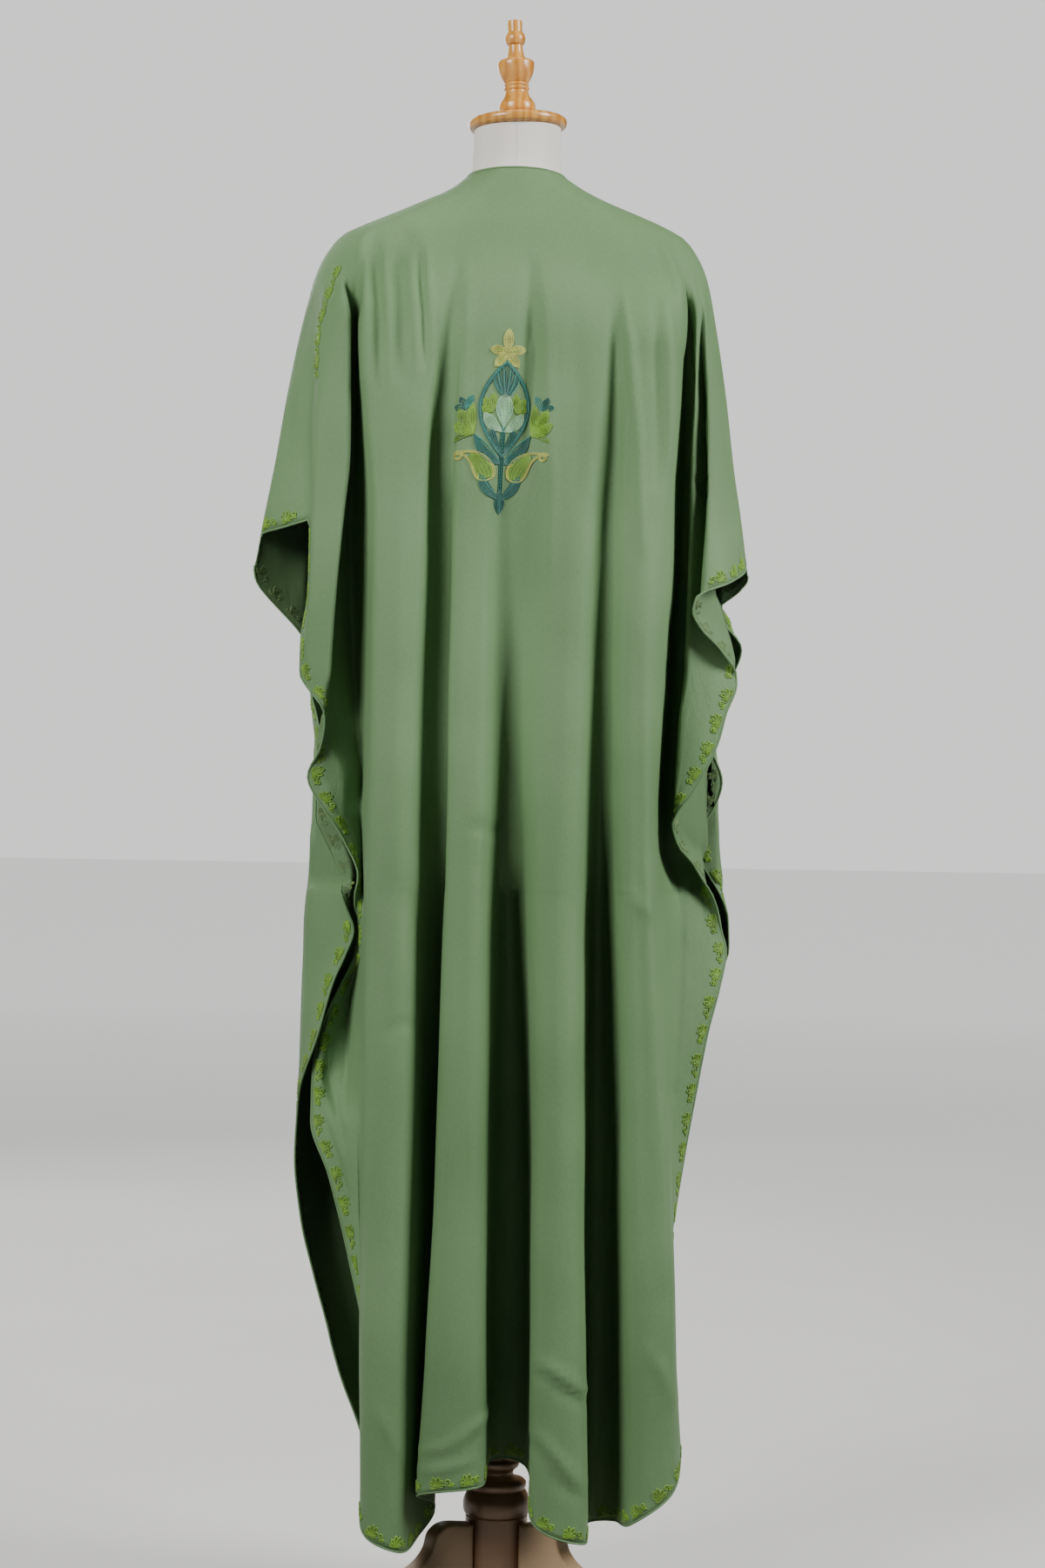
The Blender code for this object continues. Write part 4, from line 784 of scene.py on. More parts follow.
def panel_named(name):
    """The back or front panel, worked out once."""
    if name not in PANELS:
        PANELS[name] = (
            Panel(-1, BACK_FOLDS, (BACK_LEFT_SLEEVE, BACK_RIGHT_SLEEVE),
                  (BACK_LEFT_WING, BACK_RIGHT_WING), (LEFT_LEGS, RIGHT_LEGS),
                  BACK_CUFFS, BACK_HEM_SIDES, BACK_NECK_DIP, BACK_CREASES)
            if name == "back" else
            Panel(1, FRONT_FOLDS, (FRONT_LEFT_SLEEVE, FRONT_RIGHT_SLEEVE),
                  (FRONT_LEFT_WING, FRONT_RIGHT_WING), (FRONT_LEGS, FRONT_LEGS),
                  FRONT_CUFFS, FRONT_HEM_SIDES, FRONT_NECK_DIP, FRONT_CREASES))
    return PANELS[name]


# ---------------------------------------------------------------- small makers' helpers
def thing(name, data):
    """An object of this name in the scene."""
    obj = bpy.data.objects.new(name, data)
    bpy.context.scene.collection.objects.link(obj)
    return obj


def mesh_thing(name, bm, *materials):
    """A mesh object from a bmesh, with its finishes."""
    mesh = bpy.data.meshes.new(name)
    bm.to_mesh(mesh)
    bm.free()
    mesh.shade_smooth()
    for material in materials:
        mesh.materials.append(material)
    return thing(name, mesh)


def tubes(name, sets, sides=0):
    """Round threads or cords along paths in millimetres, made into one mesh.

    sets holds (material, paths, radius); a path is points, or (points, radii).
    """
    curve = bpy.data.curves.new(name + " path", "CURVE")
    curve.dimensions = "3D"
    curve.bevel_depth = MM
    curve.bevel_resolution = sides
    curve.use_fill_caps = True
    for number, (material, paths, radius) in enumerate(sets):
        curve.materials.append(material)
        for path in paths:
            points, radii = path if isinstance(path, tuple) else (path, None)
            spline = curve.splines.new("POLY")
            spline.points.add(len(points) - 1)
            flat = np.ones((len(points), 4))
            flat[:, :3] = np.asarray(points) * MM
            spline.points.foreach_set("co", flat.ravel())
            spread_of = np.full(len(points), radius) if radii is None else np.asarray(radii)
            spline.points.foreach_set("radius", spread_of)
            spline.material_index = number
            spline.use_smooth = True
    holder = thing(name + " path", curve)
    ready = holder.evaluated_get(bpy.context.evaluated_depsgraph_get())
    mesh = bpy.data.meshes.new_from_object(ready)
    bpy.data.objects.remove(holder, do_unlink=True)
    bpy.data.curves.remove(curve)
    mesh.name = name
    return thing(name, mesh)


def turned(name, profile, material, place=Matrix()):
    """A turned piece: its profile spun round the Z axis; a corner ends each smooth run."""
    smooth = rounded(profile)
    bm = bmesh.new()
    verts = [bm.verts.new((r * MM, 0.0, z * MM)) for r, z in smooth]
    edges = [bm.edges.new(pair) for pair in zip(verts, verts[1:])]
    bmesh.ops.spin(bm, geom=verts + edges, cent=(0, 0, 0), axis=(0, 0, 1),
                   angle=2 * math.pi, steps=72, use_merge=True)
    bmesh.ops.remove_doubles(bm, verts=bm.verts, dist=0.00002)
    bmesh.ops.recalc_face_normals(bm, faces=bm.faces)
    bmesh.ops.transform(bm, matrix=place, verts=bm.verts)
    obj = mesh_thing(name, bm, material)
    obj.data.set_sharp_from_angle(angle=math.radians(38))
    return obj


def rounded(profile, parts=6):
    """The profile with smooth runs between its corners; a corner is marked by a third item."""
    points = [np.array(p[:2], float) for p in profile]
    corner = [len(p) > 2 for p in profile]
    corner[0] = corner[-1] = True
    out = []
    for i in range(len(points) - 1):
        a, b = points[i], points[i + 1]
        before = a - (b - a) if corner[i] else points[i - 1]
        after = b + (b - a) if corner[i + 1] else points[i + 2]
        if corner[i] and corner[i + 1]:
            out.append(a)
            continue
        for k in range(parts):
            t = k / parts
            out.append(0.5 * (2 * a + (b - before) * t
                              + (2 * before - 5 * a + 4 * b - after) * t**2
                              + (3 * a - before - 3 * b + after) * t**3))
    out.append(points[-1])
    return [(max(float(r), 0.0), float(z)) for r, z in out]


# ---------------------------------------------------------------- thread drawing
def bent(points, step=1.6):
    """A smooth line through a few points, in short steps."""
    p = np.asarray(points, float)
    if len(p) > 2:
        ends = np.vstack((2 * p[0] - p[1], p, 2 * p[-1] - p[-2]))
        fine = []
        for i in range(len(p) - 1):
            a, b, c, d = ends[i:i + 4]
            for t in np.linspace(0, 1, 7)[:-1]:
                fine.append(0.5 * (2 * b + (c - a) * t + (2 * a - 5 * b + 4 * c - d) * t**2
                                   + (3 * b - a - 3 * c + d) * t**3))
        p = np.vstack((fine, p[-1]))
    run = np.concatenate(([0.0], np.cumsum(np.linalg.norm(np.diff(p, axis=0), axis=1))))
    count = max(int(round(run[-1] / step)), 2)
    at = np.linspace(0, run[-1], count + 1)
    return np.column_stack([np.interp(at, run, p[:, k]) for k in range(2)])


def beside(line, offsets):
    """A line moved sideways by an offset at each of its points."""
    line = np.asarray(line, float)
    along = np.gradient(line, axis=0)
    along /= np.maximum(np.linalg.norm(along, axis=1, keepdims=True), 1e-9)
    side = np.column_stack((-along[:, 1], along[:, 0]))
    return line + side * np.asarray(offsets)[:, None]


def leaf_rows(spine, half, rows, lean=0.45, step=1.6):
    """Rows of thread that fill a leaf or petal lengthwise; lean puts its widest place."""
    line = bent(spine, step)
    s = np.linspace(0, 1, len(line))
    power = math.log(0.5) / math.log(lean)
    width = half * np.sin(math.pi * s**power)**0.8
    out = []
    for f in np.linspace(-1, 1, rows):
        keep = slice(0, len(line)) if abs(f) > 0.99 else slice(1, -1)
        row = beside(line, f * width)[keep]
        if len(row) > 1:
            out.append(row)
    return out


def band_rows(spine, width, rows, step=1.6):
    """Parallel rows of thread along a line."""
    line = bent(spine, step)
    return [beside(line, np.full(len(line), f * width / 2)) for f in np.linspace(-1, 1, rows)]


def curl(centre, start, radius, turns, way=1, step=1.4):
    """A spiral that winds inwards from the angle start, in degrees."""
    count = max(int(abs(turns) * 2 * math.pi * radius * 0.6 / step), 8)
    s = np.linspace(0, 1, count)
    angle = math.radians(start) + way * 2 * math.pi * turns * s
    r = radius * (1 - 0.82 * s)
    return np.column_stack((centre[0] + r * np.cos(angle), centre[1] + r * np.sin(angle)))


def mirrored(rows):
    """The rows again on the other side of the middle line."""
    return [np.asarray(row) * (-1, 1) for row in rows]


def loop_petal(root, angle, length, half, step=1.3):
    """One chain-stitched petal: out along one side and back along the other."""
    s = np.linspace(0, 1, max(int(length / step), 5))
    width = half * np.sin(math.pi * s**1.5)
    a = math.radians(angle)
    along, across = np.array((math.sin(a), math.cos(a))), np.array((math.cos(a), -math.sin(a)))
    out = np.array(root) + np.outer(s * length, along) + np.outer(width, across)
    back = np.array(root) + np.outer(s * length, along) - np.outer(width, across)
    return np.vstack((out, back[::-1][1:]))


def vine_repeat(turn):
    """One repeat of the border: a fan of petals, a curl and a small leaf, then a bare space."""
    light, deep = [], []
    root = np.array((8.0, 5.4))
    for k, angle in enumerate((-84, -50, -17, 17, 50, 84)):
        reach = (7.0, 9.0, 10.6, 10.6, 9.0, 7.0)[k]
        light.append(loop_petal(root, angle, reach, 1.7))
        deep.append(np.array((root, root + 0.7 * reach * np.array(
            (math.sin(math.radians(angle)), math.cos(math.radians(angle)))))))
    deep.append(bent(((1, 4.0), (5, 3.4), (9, 4.4), (14, 6.6), (17.5, 5.6)), 2.0))
    light.append(curl((19.0, 9.4), -90, 3.7, 1.3, way=turn, step=1.5))
    light.append(loop_petal((20.0, 5.2), 52 * turn + 20, 5.5, 1.1))
    return light, deep


class Strip:
    """Cloth beside an edge: s runs along the edge, t inwards, both in millimetres."""

    def __init__(self, lines):
        self.points = np.array([line[0] for line in lines])
        self.normals = np.array([line[1] for line in lines])
        edge = self.points[:, 0]
        self.along = np.concatenate(([0.0], np.cumsum(
            np.linalg.norm(np.diff(edge, axis=0), axis=1))))
        self.inward = np.concatenate((np.zeros((len(lines), 1)), np.cumsum(
            np.linalg.norm(np.diff(self.points, axis=1), axis=2), axis=1)), axis=1)
        tangent = np.gradient(edge, self.along, axis=0)
        tangent /= np.linalg.norm(tangent, axis=1, keepdims=True)
        first = self.points[:, 3] - edge
        first /= np.linalg.norm(first, axis=1, keepdims=True)
        cosine = np.clip((tangent * first).sum(axis=1), -0.85, 0.85)
        kernel = np.ones(7) / 7
        self.cosine = np.convolve(np.pad(cosine, 3, mode="edge"), kernel, mode="valid")
        self.length = float(self.along[-1])

    def point(self, s, t, lift):
        """The spot on the cloth, raised by lift on the outer face."""
        cosine = float(np.interp(s, self.along, self.cosine))
        sine = math.sqrt(1 - cosine**2)
        s = min(max(s - t * cosine / sine, 0.0), self.length)
        t = t / sine
        at = float(np.interp(s, self.along, np.arange(len(self.along))))
        low = min(int(at), len(self.along) - 2)
        mix = at - low
        spots, outs = [], []
        for i in (low, low + 1):
            spots.append([np.interp(t, self.inward[i], self.points[i][:, k]) for k in range(3)])
            outs.append([np.interp(t, self.inward[i], self.normals[i][:, k]) for k in range(3)])
        spot = np.array(spots[0]) * (1 - mix) + np.array(spots[1]) * mix
        out = np.array(outs[0]) * (1 - mix) + np.array(outs[1]) * mix
        return spot + out / max(np.linalg.norm(out), 1e-9) * lift


def vine_on(strip, pitch, clear, lift, sparse=False):
    """The border vine along a strip; sparse leaves some rows out, as on the reverse."""
    count = max(int(round((strip.length - 2 * clear) / pitch)), 1)
    real = (strip.length - 2 * clear) / count
    light, deep = [], []
    for k in range(count):
        rows = vine_repeat(1 if k % 2 == 0 else -1)
        for kind, target in zip(rows, (light, deep)):
            for n, row in enumerate(kind):
                if sparse and n % 3 == 1:
                    continue
                row = row[::2] if sparse and len(row) > 5 else row
                target.append(np.array([strip.point(
                    clear + k * real + s * real / pitch, t, lift) for s, t in row]))
    return light, deep


EDGES = ("left side", "right side", "hem", "left cuff", "right cuff")


def border(name, panel, settings):
    """The border vine on the outer face of a panel, and its dull back on the reverse."""
    face, back = ([], []), ([], [])
    for edge in EDGES:
        strip = Strip(panel.strip(edge))
        clear = 3.0 if "cuff" in edge else 9.0
        for target, lift, sparse in ((face, settings.cloth / MM / 2 + STITCH_LIFT, False),
                                     (back, -settings.cloth / MM / 2 - REVERSE_LIFT, True)):
            light, deep = vine_on(strip, settings.pitch / MM, clear, lift, sparse)
            target[0].extend(light)
            target[1].extend(deep)
    radius = settings.thread / MM
    outer = tubes(name + "_vine", ((material("lime thread"), face[0], radius),
                                   (material("leaf thread"), face[1], radius)))
    inner = tubes(name + "_vine_reverse", ((material("dull thread"), back[0] + back[1],
                                            radius * 0.7),))
    return outer, inner


def hems(name, panel, settings):
    """Rolled hems along the neckline, the cuffs, the side edges and the hem."""
    p = panel.points
    left, right = panel.left, panel.right
    l_row, r_row = panel.cuff_rows
    radius = settings.hem / MM
    side_left = np.vstack((p[l_row, :left + 1], p[l_row + 1:, left],
                           p[-1, left + 1:right + 1], p[r_row:-1, right][::-1],
                           p[r_row, right + 1:]))
    paths = [side_left]
    inside = panel.slit_columns()
    if len(inside):
        foot = panel.levels.index(SLIT_FOOT)
        paths.append(np.vstack((p[0, :inside[0] + 1], p[1:foot + 1, inside[0]],
                                p[foot, inside[0] + 1:inside[-1] + 2],
                                p[:foot, inside[-1] + 1][::-1], p[0, inside[-1] + 2:])))
    else:
        paths.append(p[0])
    return tubes(name + "_rolled_hem", ((material("hem"), paths, radius),), sides=2)


# ---------------------------------------------------------------- the motif on the back
# Drawn in millimetres about the top of its stem, u to the right and v upwards. Every shape
# follows a rule: petals by root, angle from upright, length, half width and bend.
MOTIF_FOOT = (-10.0, 1262.0)
MOTIF_LEAN = 0.05
ROW = 1.5                   # between two rows of chain stitch
STAR = ((0, 24, 4.6), (-78, 18, 4.4), (78, 18, 4.4), (-142, 19, 4.4), (142, 19, 4.4))
OUTER_FLOWER = ((-4, 32, 4.4), (-30, 30, 5.2), (-60, 23, 5.0))
INNER_FLOWER = ((2, 19, 3.8), (-32, 17, 3.8), (-66, 12, 3.0))
TREFOIL = ((28, 16, 3.2), (-22, 13, 2.8), (-74, 11, 2.4))


def petal(root, angle, length, half, bend=0.0, lean=0.55):
    """Rows that fill a petal; it bends to the right where bend is above 0."""
    a = math.radians(angle)
    along, across = np.array((math.sin(a), math.cos(a))), np.array((math.cos(a), -math.sin(a)))
    root = np.array(root, float)
    spine = (root, root + along * length / 2 + across * bend, root + along * length)
    return leaf_rows(spine, half, max(int(round(2 * half / ROW)), 3), lean=lean)


def turning(start, heading, turn, length, power=1.0, step=1.2):
    """A line whose heading, in degrees, turns by turn along its length."""
    s = np.linspace(0, 1, max(int(length / step), 6))
    angle = np.radians(heading + turn * s**power)
    steps = np.column_stack((np.cos(angle), np.sin(angle)))[:-1] * length / (len(s) - 1)
    return np.vstack(((start,), np.array(start) + np.cumsum(steps, axis=0)))


def paisley(start, heading, turn, length, half):
    """A teardrop along a turning spine, with its tip rolled into a curl."""
    spine = turning(start, heading, turn, length, 1.4)
    s = np.linspace(0, 1, len(spine))
    width = 1.2 + (half - 1.2) * np.sin(math.pi * np.clip(s, 0, 1)**0.55)**0.8 * (1 - s**3)
    width[0] = 0.4
    hook = turning(spine[-1], heading + turn, 430, 30, 0.8, 1.0)
    edge = [beside(spine, side * (width - inset)) for side in (-1, 1) for inset in (0.0, ROW)]
    edge += [hook, beside(hook, np.full(len(hook), 1.3))]
    core = slice(2, int(0.72 * len(spine)))
    fill = [beside(spine, f * np.maximum(width - 2.2 * ROW, 0.2))[core]
            for f in np.linspace(-1, 1, 9)]
    return edge, fill


def motif_rows():
    """Rows of thread of the motif by colour."""
    rows = {"yellow": [], "lime": [], "teal": [], "light teal": [], "mint": [], "leaf": []}

    def both(colour, lines):
        rows[colour].extend(lines)
        rows[colour].extend(mirrored(lines))

    for angle, length, half in STAR:
        rows["yellow"].extend(petal((0, 80), angle, length, half))
        rows["leaf"].extend(petal((0, 80), angle, length * 0.62, 0.7, lean=0.6)[:1])
    # pointed oval frame: the edges of a tall leaf, three rows wide
    spine = bent(((0, -28), (0, 22), (0, 71)))
    rise = np.linspace(0, 1, len(spine))
    swell = 26.0 * np.sin(math.pi * rise**1.06)**0.86
    for inset, colour in ((0.0, "teal"), (ROW, "light teal"), (2 * ROW, "teal")):
        both(colour, [beside(spine, np.maximum(swell - inset, 0.0))])
    # fan inside the frame
    for k in range(-5, 6):
        reach = 33 - 0.34 * k * k
        fan = turning((0.5 * k, 34), 90 - 8.5 * k, 6.5 * k, reach)
        rows["teal"].append(fan)
        if k % 2:
            rows["light teal"].append(fan[3:-4] + (0.8, 0.0))
    # tulip
    rows["mint"].extend(petal((0, 2), 0, 35, 8.0, lean=0.62))
    both("mint", petal((-1, -2), -44, 27, 5.2, bend=-2.0))
    both("light teal", [turning((-0.6, 0), 98, 12, 22)])
    for angle, length, half in INNER_FLOWER:
        both("lime", petal((-12, 18), angle, length, half))
    both("leaf", petal((-12, 20), -30, 12, 1.2))
    for angle, length, half in OUTER_FLOWER:
        both("lime", petal((-30, -5), angle, length, half, bend=-1.5))
    both("leaf", petal((-31, -2), -32, 22, 1.6) + petal((-29, -4), -112, 21, 2.6, bend=2.5))
    for angle, length, half in TREFOIL:
        both("light teal" if angle > 0 else "teal", petal((-40, 21), angle, length, half))
    # flames that carry the frame and the side flowers
    both("teal", petal((-2, -35), -42, 40, 4.4, bend=-4.0, lean=0.45))
    both("light teal", [turning((-2, -33), 118, 30, 36)])
    both("teal", petal((-1, -22), -24, 26, 3.2, bend=-2.0))
    edge, fill = paisley((-13, -52), 106, 84, 46, 10.8)
    both("yellow", edge)
    both("lime", fill[::2])
    both("leaf", fill[1::2])
    # stem, its foot and the two leaves there
    rows["teal"].extend(band_rows(((0, 0), (0, -40), (0.5, -79)), 3.4, 3))
    rows["light teal"].append(bent(((0, 1), (0, -40), (0.5, -82))))
    rows["teal"].extend(petal((0.4, -60), 180, 25, 4.8))
    both("teal", petal((-2, -71), -36, 31, 4.6, bend=-2.5))
    both("light teal", petal((-4, -66), -38, 22, 0.7, bend=-1.5)[:1])
    return rows


def chained(points, radius):
    """Thickness along a row of chain stitch: each stitch swells and narrows."""
    fine = np.arange(len(points))
    return radius * (1.0 + 0.16 * np.cos(fine * math.pi))


def outer_tree(panel):
    bm = panel.mesh()
    tree = BVHTree.FromBMesh(bm)
    bm.free()
    return tree


def laid(tree, sign, rows, lift):
    """Rows drawn in (x, z) laid on the panel's outer face."""
    out = []
    for row in rows:
        spots = []
        for x, z in row:
            hit, normal, _, _ = tree.ray_cast(Vector((x * MM, sign * 1.0, z * MM)),
                                              Vector((0.0, -sign, 0.0)))
            if hit is None:
                continue
            if normal.y * sign < 0:
                normal = -normal
            spots.append(np.array(hit + normal * lift * MM) / MM)
        if len(spots) > 1:
            out.append(np.array(spots))
    return out


def on_back(row):
    row = np.asarray(row, float)
    return np.column_stack((MOTIF_FOOT[0] + row[:, 0] + MOTIF_LEAN * row[:, 1],
                            MOTIF_FOOT[1] + row[:, 1]))


THREAD_OF = {"yellow": "yellow thread", "lime": "lime thread", "leaf": "leaf thread",
             "teal": "teal thread", "light teal": "light teal thread", "mint": "mint thread"}


def back_motif(settings):
    """The motif in rows of thread on the back's outer face."""
    panel = panel_named("back")
    tree = outer_tree(panel)
    lift = settings.cloth / MM / 2 + STITCH_LIFT
    radius = settings.thread / MM
    sets = []
    for colour, rows in motif_rows().items():
        paths = [(p, chained(p, radius)) for p in
                 laid(tree, panel.sign, [on_back(r) for r in rows], lift)]
        sets.append((material(THREAD_OF[colour]), paths, radius))
    return tubes("back_motif", sets, sides=1)


def shoulder_vine(settings):
    """Short line of flowers beside the left sleeve's fold, on the back."""
    panel = panel_named("back")
    tree = outer_tree(panel)
    line = bent(((-186, 1440), (-193, 1420), (-200, 1396), (-206, 1372), (-208, 1340),
                 (-207, 1300)), 1.0)
    run = run_of(line)
    side = beside(line, np.ones(len(line))) - line
    pitch = settings.pitch / MM * 0.8
    light, deep = [], []
    for k in range(int(run[-1] / pitch)):
        for kind, target in zip(vine_repeat(1), (light, deep)):
            for row in kind:
                row = np.asarray(row) * 0.62
                s = k * pitch + row[:, 0] / 0.62
                x = np.interp(s, run, line[:, 0]) - np.interp(s, run, side[:, 0]) * (row[:, 1] - 8)
                z = np.interp(s, run, line[:, 1]) - np.interp(s, run, side[:, 1]) * (row[:, 1] - 8)
                target.append(np.column_stack((x, z)))
    lift = settings.cloth / MM / 2 + 0.3
    radius = settings.thread / MM * 0.8
    return tubes("shoulder_vine", (
        (material("lime thread"), laid(tree, -1, light, lift), radius),
        (material("leaf thread"), laid(tree, -1, deep, lift), radius)))


def neck_vine(settings):
    """Vine that follows the front neckline and both sides of its slit."""
    panel = panel_named("front")
    p, n = panel.points, panel.normals
    inside = panel.slit_columns()
    foot = panel.levels.index(SLIT_FOOT)
    light, deep = [], []
    lift = settings.cloth / MM / 2 + STITCH_LIFT

    def beside_slit(columns):
        return [(p[r, columns], n[r, columns]) for r in range(3, foot + 1)]

    def below_neck(columns):
        return [(p[:9, c], n[:9, c]) for c in columns]

    lines = (beside_slit(range(inside[0], inside[0] - 10, -1)),
             beside_slit(range(inside[-1] + 1, inside[-1] + 11)),
             below_neck(range(12, inside[0] - 1)),
             below_neck(range(len(panel.at) - 13, inside[-1] + 2, -1)))
    for line in lines:
        got = vine_on(Strip(line), settings.pitch / MM, 4.0, lift)
        light.extend(got[0])
        deep.extend(got[1])
    radius = settings.thread / MM
    return tubes("neck_vine", ((material("lime thread"), light, radius),
                               (material("leaf thread"), deep, radius)))


# ---------------------------------------------------------------- materials
def fill(tree, made, inputs):
    """Link the sockets among the inputs, given by label or place, and set the other values."""
    for label, value in inputs.items():
        if isinstance(value, bpy.types.NodeSocket):
            tree.links.new(value, made.inputs[label])
        else:
            made.inputs[label].default_value = value
    return made


def node(tree, kind, inputs=None, **settings):
    """A shader node with its inputs and its settings."""
    made = tree.nodes.new("ShaderNode" + kind)
    for name, value in settings.items():
        setattr(made, name, value)
    return fill(tree, made, inputs or {})


def worked(tree, operation, *values):
    """Result of a sum on sockets or numbers."""
    return node(tree, "Math", dict(enumerate(values)), operation=operation).outputs[0]


def noise(tree, place, **inputs):
    """Soft noise over a place."""
    return node(tree, "TexNoise", {"Vector": place, **inputs}).outputs["Fac"]


def object_place(tree):
    """Place on the piece in its own space."""
    return node(tree, "TexCoord").outputs["Object"]


def group_named(name, inputs, outputs, build):
    """The named node group; build fills it once and gives the values of its outputs."""
    if name not in bpy.data.node_groups:
        tree = bpy.data.node_groups.new(name, "ShaderNodeTree")
        for label, kind, value in inputs:
            socket = tree.interface.new_socket(label, in_out="INPUT",
                                               socket_type="NodeSocket" + kind)
            if value is not None:
                socket.default_value = value
        for label in outputs:
            tree.interface.new_socket(label, in_out="OUTPUT", socket_type="NodeSocketFloat")
        given = tree.nodes.new("NodeGroupInput").outputs
        fill(tree, tree.nodes.new("NodeGroupOutput"), dict(zip(outputs, build(tree, given))))
    return bpy.data.node_groups[name]


def weave_group():
    """Crossed threads of a light crepe on the cloth's own coordinates, with slubs."""
    def build(tree, given):
        parts = node(tree, "SeparateXYZ", {0: given["Coordinates"]})
        waves = []
        for axis in (0, 1):
            threads = worked(tree, "MULTIPLY", parts.outputs[axis], given["Threads per metre"])
            waves.append(worked(tree, "SINE", worked(tree, "MULTIPLY", threads, 2 * math.pi)))
        stretch = node(tree, "Mapping", {"Scale": (1.0, 0.35, 1.0),
                                         "Vector": given["Coordinates"]})
        slub = noise(tree, stretch.outputs[0], Scale=620.0, Detail=3.0, Roughness=0.6)
        half = worked(tree, "MULTIPLY", worked(tree, "MULTIPLY", *waves), 0.28)
        return worked(tree, "ADD", half, slub), slub

    return group_named("weave", (("Coordinates", "Vector", None),
                                 ("Threads per metre", "Float", 900.0)),
                       ("Height", "Tone"), build)


def handled_group():
    """Soft small wrinkles and a slow drift of tone, as on cloth that has been handled."""
    def build(tree, given):
        place = object_place(tree)
        stretch = node(tree, "Mapping", {"Scale": (1.0, 1.0, 0.32), "Vector": place})
        return (noise(tree, stretch.outputs[0], Scale=given["Size"], Detail=4.0, Roughness=0.52,
                      Distortion=0.5),
                noise(tree, place, Scale=5.0, Detail=2.0))

    return group_named("handled cloth", (("Size", "Float", 26.0),), ("Height", "Tone"), build)


def grain_group():
    """Wood grain that runs up the piece, with pores and a slow change of tone."""
    def build(tree, given):
        stretch = node(tree, "Mapping", {"Location": (0.05, 0.03, 0.0),
                                         "Vector": object_place(tree),
                                         "Scale": given["Stretch"]})
        rings = node(tree, "TexWave", {"Distortion": 5.5, "Detail": 3.0, "Detail Scale": 1.6,
                                       "Detail Roughness": 0.6, "Vector": stretch.outputs[0],
                                       "Scale": given["Rings"]},
                     wave_type="BANDS", bands_direction="X")
        return rings.outputs["Fac"], noise(tree, stretch.outputs[0], Scale=420.0, Detail=3.0,
                                           Roughness=0.7)

    return group_named("wood grain", (("Rings", "Float", 26.0),
                                      ("Stretch", "Vector", (1.0, 1.0, 0.12))),
                       ("Figure", "Pores"), build)


def between(tree, factor, low, high, start=0.25, end=0.75):
    """Colour ramp from low to high over a factor."""
    ramp = node(tree, "ValToRGB")
    ramp.color_ramp.elements[0].position = start
    ramp.color_ramp.elements[1].position = end
    ramp.color_ramp.elements[0].color = (*low, 1.0)
    ramp.color_ramp.elements[1].color = (*high, 1.0)
    tree.links.new(factor, ramp.inputs[0])
    return ramp.outputs["Color"]


def ranged(tree, factor, low, high):
    """A factor from 0 to 1 spread between two values."""
    return node(tree, "MapRange", {"To Min": low, "To Max": high,
                                   "Value": factor}).outputs["Result"]


def started(name):
    """A new finish, its nodes and its main shader."""
    made = bpy.data.materials.new(name)
    made.use_nodes = True
    return made, made.node_tree, made.node_tree.nodes["Principled BSDF"]


def bumped(tree, *steps):
    """Normal from chained bumps: each step is (height socket, distance in metres, strength)."""
    under = {}
    for height, distance, strength in steps:
        bump = node(tree, "Bump", {"Strength": strength, "Distance": distance,
                                   "Height": height, **under})
        under = {"Normal": bump.outputs["Normal"]}
    return under["Normal"]


def cloth_finish(name, low, high, rough, sheen):
    """Crepe: crossed threads and slubs, small wrinkles and a soft sheen."""
    made, tree, shader = started(name)
    weave = node(tree, "Group", {
        "Threads per metre": 900.0,
        "Coordinates": node(tree, "UVMap", uv_map="cloth").outputs["UV"],
    }, node_tree=weave_group()).outputs
    handled = node(tree, "Group", node_tree=handled_group()).outputs
    mixed = worked(tree, "MULTIPLY_ADD", weave["Tone"], 0.45, handled["Tone"])
    fill(tree, shader, {
        "Base Color": between(tree, mixed, low, high, 0.5, 0.95),
        "Roughness": ranged(tree, weave["Tone"], rough - 0.07, rough + 0.07),
        "Sheen Weight": sheen, "Sheen Roughness": 0.45, "Sheen Tint": (0.75, 0.95, 0.65, 1.0),
        "Specular IOR Level": 0.35,
        "Normal": bumped(tree, (handled["Height"], 0.0030, 0.8),
                         (weave["Height"], 0.0004, 0.8))})
    return made


def thread_finish(name, low, high, rough=0.5):
    """Twisted thread: fine strands over a slow change of tone."""
    made, tree, shader = started(name)
    place = object_place(tree)
    strand = noise(tree, place, Scale=750.0, Detail=2.0)
    blend = worked(tree, "MULTIPLY_ADD", strand, 0.6, noise(tree, place, Scale=60.0, Detail=2.0))
    fill(tree, shader, {
        "Base Color": between(tree, blend, low, high, 0.55, 1.0),
        "Roughness": ranged(tree, strand, rough - 0.1, rough + 0.1),
        "Sheen Weight": 0.2, "Normal": bumped(tree, (strand, 0.0003, 0.7))})
    return made


